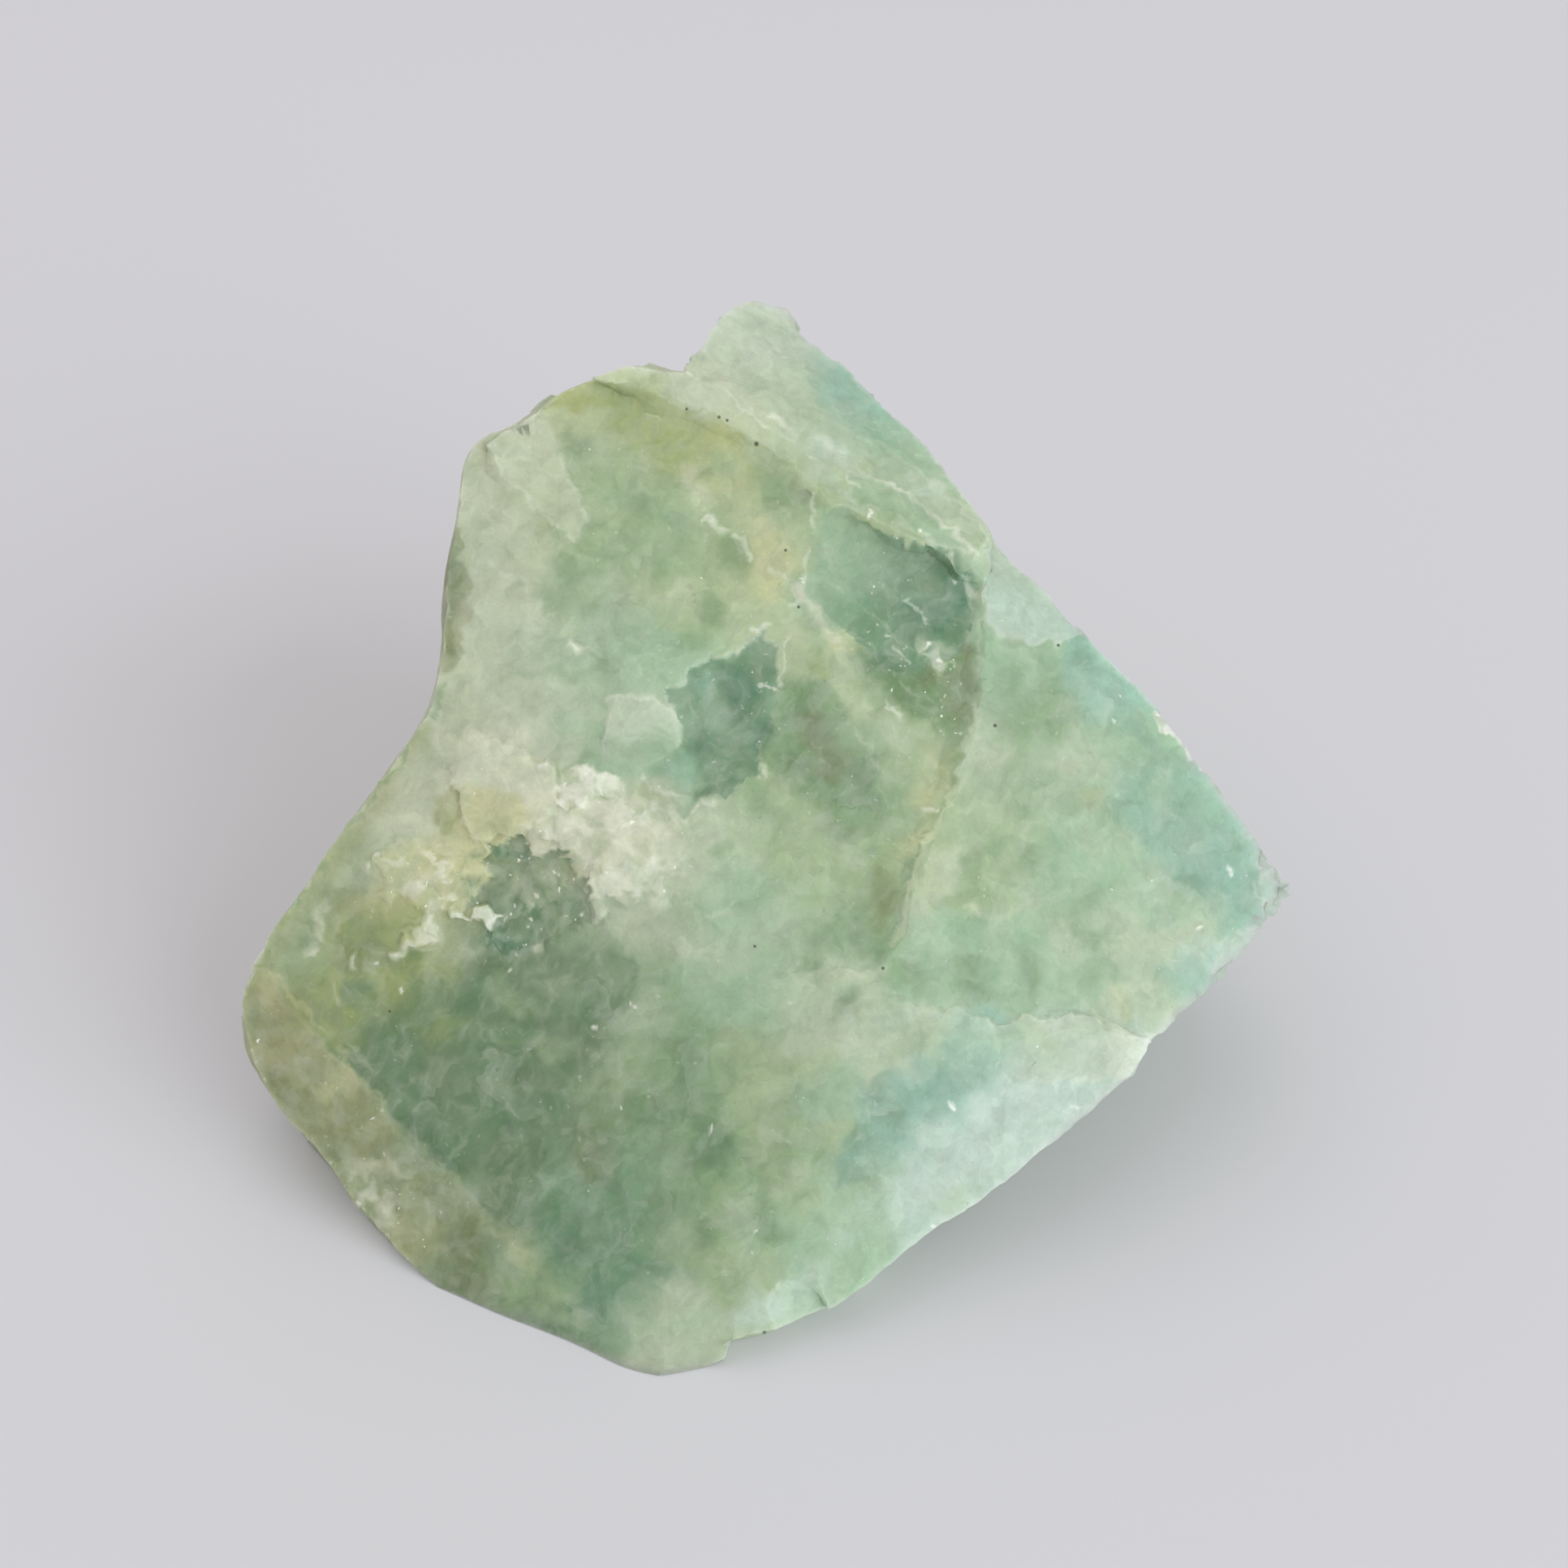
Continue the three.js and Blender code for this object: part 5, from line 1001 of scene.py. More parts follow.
@dataclass
class Skin:
    """The stone's surface as arrays, in millimetres.

    Attributes:
        points: One row for each vertex.
        edges: Vertex numbers of each edge.
        faces: Vertex numbers of each triangle.
        sharp: Whether each edge is a real edge of the stone.
    """

    points: np.ndarray
    edges: np.ndarray
    faces: np.ndarray
    sharp: np.ndarray

    @classmethod
    def of(cls, shape: bmesh.types.BMesh) -> Skin:
        """Reads a surface of triangles."""
        shape.verts.index_update()
        return cls(
            np.array([vertex.co[:] for vertex in shape.verts]) / MM,
            np.array([[corner.index for corner in edge.verts] for edge in shape.edges]),
            np.array([[corner.index for corner in face.verts] for face in shape.faces]),
            np.array([not edge.smooth for edge in shape.edges]),
        )

    def onto(self, shape: bmesh.types.BMesh) -> None:
        """Moves the vertices of that surface to their places here."""
        for vertex, place in zip(shape.verts, self.points * MM):
            vertex.co = place

    @property
    def lengths(self) -> np.ndarray:
        """Length of each edge."""
        return np.linalg.norm(np.diff(self.points[self.edges], axis=1)[:, 0], axis=1)

    @property
    def middles(self) -> np.ndarray:
        """Middle of each edge."""
        return self.points[self.edges].mean(axis=1)

    def normals(self) -> np.ndarray:
        """Direction in which the surface faces at each vertex.

        Returns:
            One row of unit length for each vertex.
        """
        a, b, c = (self.points[self.faces[:, corner]] for corner in range(3))
        faced = np.cross(b - a, c - a)
        total = np.zeros_like(self.points)
        for corner in range(3):
            np.add.at(total, self.faces[:, corner], faced)
        return total / np.maximum(np.linalg.norm(total, axis=1), 1e-12)[:, None]

    def average(self, values: np.ndarray, keep_edges: bool = True) -> np.ndarray:
        """Mean of the values round each vertex.

        Args:
            values: One row for each vertex.
            keep_edges: Whether a vertex on a real edge heeds only its neighbours along it.

        Returns:
            One row for each vertex. Where real edges meet or end, it is the vertex's own.
        """
        total = np.zeros_like(values)
        count = np.zeros(len(values))
        on_edge = np.bincount(self.edges[self.sharp].ravel(), minlength=len(values))
        plain = on_edge == 0 if keep_edges else np.ones(len(values), bool)
        for here, there in ((0, 1), (1, 0)):
            to, source = self.edges[:, here], self.edges[:, there]
            heeds = plain[to] | (self.sharp & (on_edge[to] == 2))
            np.add.at(total, to[heeds], values[source[heeds]])
            count += np.bincount(to[heeds], minlength=len(values))
        shaped = count.reshape((-1,) + (1,) * (values.ndim - 1))
        return np.where(shaped > 0, total / np.maximum(shaped, 1), values)

    def evened(self, passes: int, edge_share: float) -> None:
        """Evens the surface between its real edges, and those edges by a share of their own.

        Args:
            passes: How often it is evened.
            edge_share: How far a vertex on a real edge moves each time, from 0 to 1.
        """
        on_edge = np.zeros(len(self.points), bool)
        on_edge[self.edges[self.sharp].ravel()] = True
        share = np.where(on_edge, edge_share, 0.5)[:, None]
        for _ in range(passes):
            self.points += share * (self.average(self.points) - self.points)

    def bulge(self, passes: int) -> np.ndarray:
        """How far each vertex stands out from what lies round it, in millimetres.

        Args:
            passes: How many rings of neighbours count as round it.

        Returns:
            One height for each vertex.
        """
        level = self.points
        for _ in range(passes):
            level = self.average(level, keep_edges=False)
        return np.einsum("ij,ij->i", self.points - level, self.normals())


@dataclass
class Paint:
    """What is laid on the surface, one value for each vertex.

    Attributes:
        tint: Colour in linear light.
        frost: How grainy it is, from 0 to 1.
        sparkle: How many bright flecks, painted glints, it holds, from 0 to 1.
        height: How far it stands out, in millimetres.
    """

    tint: np.ndarray
    frost: np.ndarray
    sparkle: np.ndarray
    height: np.ndarray

    def mix(self, other: np.ndarray, share: np.ndarray) -> None:
        """Mixes a colour into the tint."""
        self.tint += share[:, None] * (other - self.tint)


@dataclass
class Stone:
    """The raw stone, from its solid to its worn and coloured surface.

    Attributes:
        front: The frame of the broad front.
        edge_turn: Least angle between two faces at a real edge, in degrees.
        facet_turn: Angle from which an edge between small facets behind is crisp, in degrees.
        front_turn: The same on the front.
        front_grain: Length of the front's triangles, in millimetres.
        mark_grain: Their length along the edges of what is painted.
        back_grain: Their length behind and below.
        mark_reach: How far from such an edge they are that fine.
        grain_slack: How much longer than that the longest triangle may be.
        hidden_turn: How squarely the eye sees what counts as behind, at most.
        passes: How often the surface is divided at most.
        even_passes: How often it is evened before that, and after each time.
        even_share: How far its real edges are evened the first time, and then.
        margin: How far it stays inside the solid's box, in millimetres.
        warp: Sideways unevenness, which makes every edge ragged.
        swells: Unevenness of every face.
        crust: Grain of the frosted crust.
        rubble: Steps and hackles of the broken back.
        rubble_sink: How far those steps are set in, as a share of their height.
        rubble_bend: How far their edges stray, in millimetres.
        back_turn: How squarely the eye sees a face where the rubble starts and is whole.
        foot: Height over which the unevenness grows from nothing at the base.
        side_turn: How squarely the eye sees a face where the front's clouds end behind it.
        side_share: How strongly those clouds colour the sides.
        side_stray: How far they stray there, in millimetres.
        front_turn_in: How squarely the eye sees a face where the front's detail starts.
        middle_tone: The tone that stays as it is when the contrast is raised.
        contrast: How much stronger the tones differ than they look through the haze.
        cloud_power: How crisply one cloud gives way to the next.
        streak_share: How strongly the streaks show.
        rim_width: Where a white rim ends on either side, and up to where it is whole.
        bulge_passes: Reach of the fine and the broad painted light and shade, in rings of vertices.
        ease_passes: How far round the ledges of the front are evened.
        ease_rim: Distance from the front's outline where this starts and is whole.
        ease_turn: How squarely the eye sees a face where it starts and is whole.
        ease_share: How much of their height goes.
        ledge_share: How much of that is spared on the ledges that stay high.
        ledge_width: Distance from such a ledge where nothing and all of it is spared.
    """

    front: FrontView = field(default_factory=FrontView)
    edge_turn: float = 33.0
    facet_turn: float = 26.0
    front_turn: float = 41.6
    front_grain: float = 0.38
    mark_grain: float = 0.17
    back_grain: float = 0.66
    mark_reach: float = 0.4
    grain_slack: float = 1.4
    hidden_turn: float = -0.1
    passes: int = 6
    even_passes: tuple[int, int] = (3, 2)
    even_share: tuple[float, float] = (0.1, 0.3)
    margin: float = 0.002
    warp: tuple[Relief, ...] = (Relief(1.1, 0.16, 1.0), Relief(0.5, 0.07, 2.0))
    swells: tuple[Relief, ...] = (
        Relief(4.2, 0.1, 3.0), Relief(1.6, 0.03, 4.0), Relief(0.7, 0.01, 5.0),
    )
    crust: tuple[Relief, ...] = (Relief(1.6, 0.17, 6.0), Relief(0.7, 0.1, 7.0))
    rubble: tuple[Relief, ...] = (
        Relief(7.5, 0.85, 8.0), Relief(2.8, 0.42, 9.0), Relief(1.3, 0.14, 10.0),
    )
    rubble_sink: float = 0.45
    rubble_bend: float = 0.5
    back_turn: tuple[float, float] = (-0.02, -0.4)
    foot: float = 1.6
    side_turn: tuple[float, float] = (-0.75, -0.1)
    side_share: float = 0.65
    side_stray: float = 2.6
    front_turn_in: tuple[float, float] = (-0.03, 0.06)
    middle_tone: float = 0.5
    contrast: float = 1.28
    cloud_power: float = 1.5
    streak_share: float = 0.7
    rim_width: tuple[float, float] = (0.2, 0.04)
    bulge_passes: tuple[int, int] = (3, 14)
    ease_passes: int = 9
    ease_rim: tuple[float, float] = (0.4, 3.2)
    ease_turn: tuple[float, float] = (-0.2, 0.2)
    ease_share: float = 0.92
    ledge_share: float = 0.16
    ledge_width: tuple[float, float] = (2.2, 0.8)

    def build(self, solid: bpy.types.Object) -> bpy.types.Object:
        """Makes the stone.

        Args:
            solid: The plain solid, which stays as it is.

        Returns:
            The stone's object, with its colours as attributes.
        """
        shape = bmesh.new()
        shape.from_mesh(solid.data)
        bmesh.ops.remove_doubles(shape, verts=shape.verts, dist=0.001 * MM)
        skin = Skin.of(shape)
        lowest, highest = skin.points.min(axis=0), skin.points.max(axis=0)
        self.ease(skin)
        skin.onto(shape)
        for edge in shape.edges:
            edge.smooth = edge.calc_face_angle(0.0) < math.radians(self.edge_turn)
        skin = self.divided(shape)
        paint = self.painted(skin)
        self.wear(skin, paint)
        skin.points = np.clip(skin.points, lowest + self.margin, highest - self.margin)
        skin.onto(shape)
        self.crisp(shape, skin)
        mesh = bpy.data.meshes.new("raw_stone")
        shape.to_mesh(mesh)
        shape.free()
        self.keep(mesh, skin, paint)
        stone = bpy.data.objects.new("raw_stone", mesh)
        bpy.context.scene.collection.objects.link(stone)
        log.info("stone: %d triangles", len(mesh.polygons))
        return stone

    def crisp(self, shape: bmesh.types.BMesh, skin: Skin) -> None:
        """Shades the faces smoothly, and the edges that turn most crisply.

        Args:
            shape: The worn surface. It is changed.
            skin: The same as arrays.
        """
        shape.normal_update()
        for face in shape.faces:
            face.smooth = True
        seen = self.seen(skin.points, skin.normals())
        for edge in shape.edges:
            hidden = seen[edge.verts[0].index] < self.hidden_turn
            turn = self.facet_turn if hidden else self.front_turn
            if edge.calc_face_angle(0.0) > math.radians(turn):
                edge.smooth = False

    def ease(self, skin: Skin) -> None:
        """Lowers the ledges inside the front, which light that passes through them softens.

        Args:
            skin: The surface. It is changed.
        """
        marks = self.front.marks(skin.points)[:, :2]
        facing = smoothstep(self.seen(skin.points, skin.normals()), *self.ease_turn)
        share = smoothstep(depth_inside(marks, OUTLINE), *self.ease_rim)
        share = (share * np.maximum(facing, share))[:, None]
        level = skin.points.copy()
        for _ in range(self.ease_passes):
            level += share * (skin.average(level, keep_edges=False) - level)
        ledge = np.min([line_distance(marks, line, closed=False) for line in LEDGES], axis=0)
        spared = self.ledge_share * smoothstep(ledge, *self.ledge_width)
        skin.points += (self.ease_share * (1 - spared))[:, None] * (level - skin.points)

    def divided(self, shape: bmesh.types.BMesh) -> Skin:
        """Divides the faces until they carry the detail, and evens them as it goes.

        Args:
            shape: The merged solid. It is changed.

        Returns:
            The divided surface.
        """
        skin = Skin.of(shape)
        skin.evened(self.even_passes[0], 0.0)
        for level in range(self.passes):
            skin.onto(shape)
            longest = self.grain(skin)
            chosen = np.nonzero(skin.lengths > longest)[0]
            if len(chosen) == 0:
                break
            shape.edges.ensure_lookup_table()
            bmesh.ops.subdivide_edges(
                shape,
                edges=[shape.edges[number] for number in chosen],
                cuts=1,
                use_grid_fill=True,
                use_single_edge=True,
            )
            bmesh.ops.triangulate(shape, faces=shape.faces)
            skin = Skin.of(shape)
            skin.evened(self.even_passes[1], self.even_share[min(level, 1)])
            log.info("dividing %d: %d triangles", level + 1, len(skin.faces))
        return skin

    def grain(self, skin: Skin) -> np.ndarray:
        """Longest that each edge may be, in millimetres.

        Args:
            skin: The surface so far.

        Returns:
            One length for each edge.
        """
        middles = skin.middles
        marks = self.front.marks(middles)
        flat = marks[:, :2]
        seen = self.seen(middles, skin.normals()[skin.edges].mean(axis=1))
        longest = np.where(seen > 0.0, self.front_grain, self.back_grain)
        near = np.zeros(len(flat), bool)
        for patch in PATCHES:
            near |= self.close_to(flat, patch.outline, True)
        for streak in STREAKS:
            near |= self.close_to(flat, streak.line, False)
        return self.grain_slack * np.where(near & (seen > 0.0), self.mark_grain, longest)

    def close_to(self, marks: np.ndarray, line: Sequence[Mark], closed: bool) -> np.ndarray:
        """Whether each mark lies close to a line.

        Args:
            marks: Places as rows of a and b.
            line: Corners of the line.
            closed: Whether its last corner joins its first.

        Returns:
            True or False for each mark.
        """
        corners = np.array(line, float)
        low, high = corners.min(axis=0) - 1, corners.max(axis=0) + 1
        near = ((marks > low) & (marks < high)).all(axis=1)
        near[near] = line_distance(marks[near], line, closed) < self.mark_reach
        return near

    def seen(self, points: np.ndarray, normals: np.ndarray) -> np.ndarray:
        """Cosine of the angle at which the eye in front sees each point.

        Args:
            points: Places in millimetres, one row each.
            normals: Directions in which the surface faces there.

        Returns:
            One value for each point, less than 0 where it faces away.
        """
        eye = np.array(self.front.origin) + self.front.eye_distance * self.front.axes[2]
        sight = eye - points
        return np.einsum("ij,ij->i", sight, normals) / np.linalg.norm(sight, axis=1)

    def painted(self, skin: Skin) -> Paint:
        """Lays the colours on the divided surface.

        Args:
            skin: The surface.

        Returns:
            The colours and what goes with them.
        """
        seen = self.seen(skin.points, skin.normals())
        marks = self.front.marks(skin.points)[:, :2]
        paint = self.painted_behind(skin)
        strayed = marks + self.side_stray * drift(skin.points, 3.4, (47.0, 48.0))
        paint.mix(self.clouded(strayed), self.side_share * smoothstep(seen, *self.side_turn))
        front = self.painted_front(marks)
        facing = smoothstep(seen, *self.front_turn_in)
        paint.mix(front.tint, facing)
        paint.frost += facing * (front.frost - paint.frost)
        paint.sparkle += facing * (front.sparkle - paint.sparkle)
        paint.height = facing * front.height
        # painted light on what stands out, painted shade in the hollows
        self.paint_edge_light_and_hollow_shade(skin, paint)
        paint.tint = np.clip(paint.tint, DARKEST, LIGHTEST)
        paint.tint = self.middle_tone * (paint.tint / self.middle_tone) ** self.contrast
        return paint

    def painted_front(self, marks: np.ndarray) -> Paint:
        """Colours of the broad front: clouds, patches, spots, crust and streaks.

        Args:
            marks: Place of each vertex on the front.

        Returns:
            The colours and what goes with them, as if every vertex lay on the front.
        """
        drifted = ragged(ragged(marks, 0.7, 3.4, 21.0), 0.3, 1.2, 22.0)
        stirred = ragged(ragged(marks, 0.5, 2.2, 33.0), 0.28, 0.9, 34.0)
        torn = ragged(ragged(marks, 0.2, 0.9, 23.0), 0.08, 0.35, 24.0)
        tear = ripple(marks, 1.7, 25.0) + 0.5 * ripple(marks, 0.6, 26.0)
        front = Paint(self.clouded(drifted), *(np.zeros(len(marks)) for _ in range(3)))
        for patch in PATCHES:
            self.lay_patch(front, patch, marks + patch.tear * (torn - marks), tear)
        for blot in BLOTS:
            front.mix(blot.tint.linear, blot.share(stirred))
        crumbs = ripple(torn, 1.0, 27.0) + 0.5 * ripple(torn, 0.45, 28.0)
        front.mix(Tint.FROST.linear, 0.7 * front.frost * smoothstep(crumbs, 0.1, 0.3))
        front.mix(Tint.SAGE.linear, 0.5 * front.frost * smoothstep(crumbs, -0.35, -0.6))
        for number, streak in enumerate(STREAKS):
            strength = streak.strength(torn, STREAK_SEED + number)
            front.mix(streak.tint.linear, self.streak_share * strength)
        return front

    def clouded(self, marks: np.ndarray) -> np.ndarray:
        """The broad colours of the front at each mark.

        Args:
            marks: Places as rows of a and b.

        Returns:
            One colour for each mark, in linear light.
        """
        total = np.full(len(marks), 1e-4)
        tint = total[:, None] * Tint.SAGE.linear
        for cloud in CLOUDS:
            pull = cloud.pull(marks) ** self.cloud_power
            total += pull
            tint += pull[:, None] * cloud.tint.linear
        return tint / total[:, None]

    def painted_behind(self, skin: Skin) -> Paint:
        """Colours of the sides that the front doesn't show: green depths, pale breaks, rust.

        Args:
            skin: The surface.

        Returns:
            The colours and what goes with them.
        """
        depth = 0.6 * ripple(skin.points, 9.0, 41.0) + 0.4 * ripple(skin.points, 3.5, 42.0)
        stops = (Tint.POOL, Tint.LEAF, Tint.SAGE, Tint.SEA, Tint.MINT, Tint.MILK)
        levels = np.linspace(-0.75, 0.75, len(stops))
        ramp = np.array([stop.linear for stop in stops])
        tint = np.stack([np.interp(depth, levels, ramp[:, part]) for part in range(3)], axis=1)
        paint = Paint(tint, *(np.zeros(len(depth)) for _ in range(3)))
        rust = ripple(skin.points, 6.0, 43.0) + 0.5 * ripple(skin.points, 1.5, 44.0)
        paint.mix(Tint.KHAKI.linear, 0.45 * smoothstep(rust, 0.25, 0.9))
        breaks = ripple(skin.points, 4.5, 45.0) + 0.35 * ripple(skin.points, 1.0, 46.0)
        frosted = smoothstep(breaks, 0.5, 0.72)
        paint.mix(Tint.MILK.linear, 0.45 * frosted)
        paint.frost = 0.5 * frosted
        # more painted glints where the sides are deep green
        paint.sparkle = 0.25 + 0.3 * smoothstep(depth, 0.1, -0.5)
        return paint

    def lay_patch(
        self, paint: Paint, patch: Patch, marks: np.ndarray, tear: np.ndarray
    ) -> None:
        """Lays one patch over what is there.

        Args:
            paint: The colours so far.
            patch: The patch.
            marks: Place of each vertex on the front.
            tear: Unevenness of a torn edge at each vertex.
        """
        corners = np.array(patch.outline, float)
        low, high = corners.min(axis=0) - 2, corners.max(axis=0) + 2
        near = np.nonzero(((marks > low) & (marks < high)).all(axis=1))[0]
        depth = depth_inside(marks[near], patch.outline) + patch.jag * tear[near]
        whole = patch.fading(marks[near])
        share = np.zeros(len(marks))
        share[near] = whole * smoothstep(depth, -0.5 * patch.soft, 0.5 * patch.soft)
        paint.mix(patch.tint.linear, patch.cover * share)
        rim = np.zeros(len(marks))
        rim[near] = patch.rim * whole * smoothstep(np.abs(depth), *self.rim_width)
        paint.mix(Tint.FROST.linear, rim)
        paint.frost += share * (patch.frost - paint.frost)
        paint.sparkle += share * (patch.sparkle - paint.sparkle)
        paint.height += share * patch.step

    def paint_edge_light_and_hollow_shade(self, skin: Skin, paint: Paint) -> None:
        """Paints light on the edges and swells that stand out, and shade where it is hollow.

        Args:
            skin: The surface.
            paint: The colours so far.
        """
        fine, broad = (skin.bulge(passes) for passes in self.bulge_passes)
        # painted light on fine edges, painted shade in fine hollows, painted light on broad swells
        paint.mix(Tint.FROST.linear, 0.12 * smoothstep(fine, 0.03, 0.16))
        paint.mix(Tint.MOSSPOOL.linear, 0.3 * smoothstep(-fine, 0.03, 0.14))
        paint.mix(Tint.MILK.linear, 0.15 * smoothstep(broad, 0.1, 0.6))

    def wear(self, skin: Skin, paint: Paint) -> None:
        """Makes the edges ragged and the faces uneven.

        Args:
            skin: The surface. It is changed.
            paint: What lies on it.
        """
        points = skin.points.copy()
        grow = smoothstep(points[:, 2], 0.0, self.foot)
        normals = skin.normals()
        height = paint.height.copy()
        for relief in self.swells:
            height += relief.heights(points)
        rough = np.nonzero(paint.frost > FAINT)[0]
        for relief in self.crust:
            chips = shards(points[rough], relief.length, relief.seed)
            height[rough] += paint.frost[rough] * relief.height * chips
        back = smoothstep(self.seen(points, normals), *self.back_turn)
        broken = np.nonzero(back > FAINT)[0]
        bend = drift(points[broken], 1.8, (61.0, 62.0, 63.0))
        bent = points[broken] + self.rubble_bend * bend
        for relief in self.rubble:
            chips = shards(bent, relief.length, relief.seed) - self.rubble_sink
            height[broken] += back[broken] * relief.height * chips
        shift = np.zeros_like(points)
        for relief in self.warp:
            for axis in range(3):
                step = Relief(relief.length, relief.height, relief.seed + 50 + 7 * axis)
                shift[:, axis] += step.heights(points)
        shift -= np.einsum("ij,ij->i", shift, normals)[:, None] * normals
        moved = shift + height[:, None] * normals
        skin.points = points + grow[:, None] * moved
        skin.points[:, 2] = np.maximum(skin.points[:, 2], 0.0)

    def keep(self, mesh: bpy.types.Mesh, skin: Skin, paint: Paint) -> None:
        """Keeps the colours on the mesh for the finish to read.

        Args:
            mesh: The finished mesh.
            skin: Its surface.
            paint: What lies on it.
        """
        tint = mesh.attributes.new("tint", "FLOAT_COLOR", "POINT")
        rows = np.hstack([paint.tint, np.ones((len(paint.tint), 1))])
        tint.data.foreach_set("color", rows.ravel())
        for name, values in (("frost", paint.frost), ("sparkle", paint.sparkle)):
            kept = mesh.attributes.new(name, "FLOAT", "POINT")
            kept.data.foreach_set("value", values)
        marks = self.front.marks(skin.points)
        marks[:, 2] = self.seen(skin.points, skin.normals())
        place = mesh.attributes.new("front", "FLOAT_VECTOR", "POINT")
        place.data.foreach_set("vector", marks.ravel())


# ---- Shader maths --------------------------------------------------------------------


@dataclass(frozen=True)
class Wire:
    """A shader value that can stand in a sum.

    Attributes:
        sheet: The material's nodes.
        socket: Where the value comes out.
    """

    sheet: Sheet
    socket: bpy.types.NodeSocket

    def beside(self, out: str) -> Wire:
        """Another output of the same node."""
        ports = self.socket.node.outputs
        return Wire(self.sheet, next(port for port in ports if port.identifier == out))

    def _with(self, operation: str, first: Wire | float, second: Wire | float) -> Wire:
        """Adds the Math node for an operator."""
        values = {"Value": first, "Value_001": second}
        return self.sheet.node("ShaderNodeMath", {"operation": operation}, values)

    def __add__(self, other: Wire | float) -> Wire:
        """The sum."""
        return self._with("ADD", self, other)

    def __radd__(self, other: Wire | float) -> Wire:
        """The sum, the other way round."""
        return self._with("ADD", other, self)

    def __sub__(self, other: Wire | float) -> Wire:
        """The difference."""
        return self._with("SUBTRACT", self, other)

    def __rsub__(self, other: Wire | float) -> Wire:
        """The difference, the other way round."""
        return self._with("SUBTRACT", other, self)

    def __mul__(self, other: Wire | float) -> Wire:
        """The product."""
        return self._with("MULTIPLY", self, other)

    def __rmul__(self, other: Wire | float) -> Wire:
        """The product, the other way round."""
        return self._with("MULTIPLY", other, self)


class Sheet:
    """The nodes of one material."""

    def __init__(self, name: str) -> None:
        """Starts an empty material.

        Args:
            name: What the material is called.
        """
        self.material = bpy.data.materials.new(name)
        self.material.use_nodes = True
        self.tree = self.material.node_tree
        self.tree.nodes.clear()

    def node(
        self,
        kind: str,
        settings: dict[str, object] | None = None,
        values: dict[str, object] | None = None,
        out: str | None = None,
    ) -> Wire:
        """Makes any node.

        Args:
            kind: The node's type.
            settings: What is set on the node itself, before its sockets.
            values: A wire or a plain value for each input socket, by identifier.
            out: Identifier of the output that is wanted, or None for the first.

        Returns:
            That output.
        """
        made = self.tree.nodes.new(kind)
        for name, setting in (settings or {}).items():
            setattr(made, name, setting)
        for name, value in (values or {}).items():
            socket = next(port for port in made.inputs if port.identifier == name)
            if isinstance(value, Wire):
                self.tree.links.new(value.socket, socket)
            else:
                socket.default_value = value
        if not made.outputs:
            return Wire(self, made.inputs[0])
        if out is None:
            return Wire(self, made.outputs[0])
        return Wire(self, next(port for port in made.outputs if port.identifier == out))

    def blend(self, under: Wire, over: Wire | np.ndarray, share: Wire | float) -> Wire:
        """Mixes one colour over another.

        Args:
            under: The colour below.
            over: The colour above.
            share: How much of the upper one shows, from 0 to 1.

        Returns:
            The mixed colour.
        """
        upper = over if isinstance(over, Wire) else (*over.tolist(), 1.0)
        return self.node(
            "ShaderNodeMix",
            {"data_type": "RGBA", "clamp_factor": True},
            {"Factor_Float": share, "A_Color": under, "B_Color": upper},
            "Result_Color",
        )

    def attribute(self, name: str, out: str) -> Wire:
        """Reads what was kept on the mesh."""
        return self.node("ShaderNodeAttribute", {"attribute_name": name}, None, out)

    def vector(self, operation: str, values: dict[str, object], out: str = "Vector") -> Wire:
        """Works on vectors or colours with a Vector Math node."""
        return self.node("ShaderNodeVectorMath", {"operation": operation}, values, out)

    def step(self, value: Wire, low: float, high: float) -> Wire:
        """Runs smoothly from 0 at low to 1 at high, or from 1 to 0 if high is less.

        Args:
            value: What is looked at.
            low: Where the step starts.
            high: Where it is all there.

        Returns:
            The step, from 0 to 1.
        """
        ends = (low, high, 0.0, 1.0) if low < high else (high, low, 1.0, 0.0)
        names = ("From Min", "From Max", "To Min", "To Max")
        return self.node(
            "ShaderNodeMapRange",
            {"interpolation_type": "SMOOTHSTEP"},
            {"Value": value, **dict(zip(names, ends))},
        )

    def haze(self, place: Wire, length: float, detail: float = 3.0) -> Wire:
        """Cloudy noise from about 0.2 to 0.8, with a swell of that many millimetres."""
        return self.node(
            "ShaderNodeTexNoise",
            None,
            {"Vector": place, "Scale": 1 / length, "Detail": detail, "Roughness": 0.55},
            "Fac",
        )

    def jostled(self, place: Wire, scale: float, reach: float) -> Wire:
        """Places pushed about, so that nothing drawn by them runs straight.

        Args:
            place: Where each point lies, in millimetres.
            scale: How many swells there are in a millimetre.
            reach: How far they are pushed, in millimetres.

        Returns:
            The pushed places.
        """
        values = {"Vector": place, "Scale": scale, "Detail": 2.0}
        push = self.node("ShaderNodeTexNoise", None, values, "Color")
        reaches = (reach, reach, reach)
        return self.vector(
            "MULTIPLY_ADD", {"Vector": push, "Vector_001": reaches, "Vector_002": place}
        )

    def drawn_out(self, place: Wire, stretch: float, turn: Sequence[float]) -> Wire:
        """Places in which a pattern is drawn out along one direction."""
        values = {"Vector": place, "Rotation": turn, "Scale": (stretch, 1.0, 1.0)}
        return self.node("ShaderNodeMapping", {"vector_type": "TEXTURE"}, values)

    def cells(self, place: Wire, length: float, out: str) -> Wire:
        """A pattern of cells that many millimetres wide."""
        values = {"Vector": place, "Scale": 1 / length, "Randomness": 1.0}
        return self.node("ShaderNodeTexVoronoi", None, values, out)

    def lot(self, place: Wire, length: float) -> Wire:
        """A number from 0 to 1 drawn for each cell."""
        cell = self.cells(place, length, "Color")
        return self.node("ShaderNodeSeparateColor", None, {"Color": cell}, "Red")


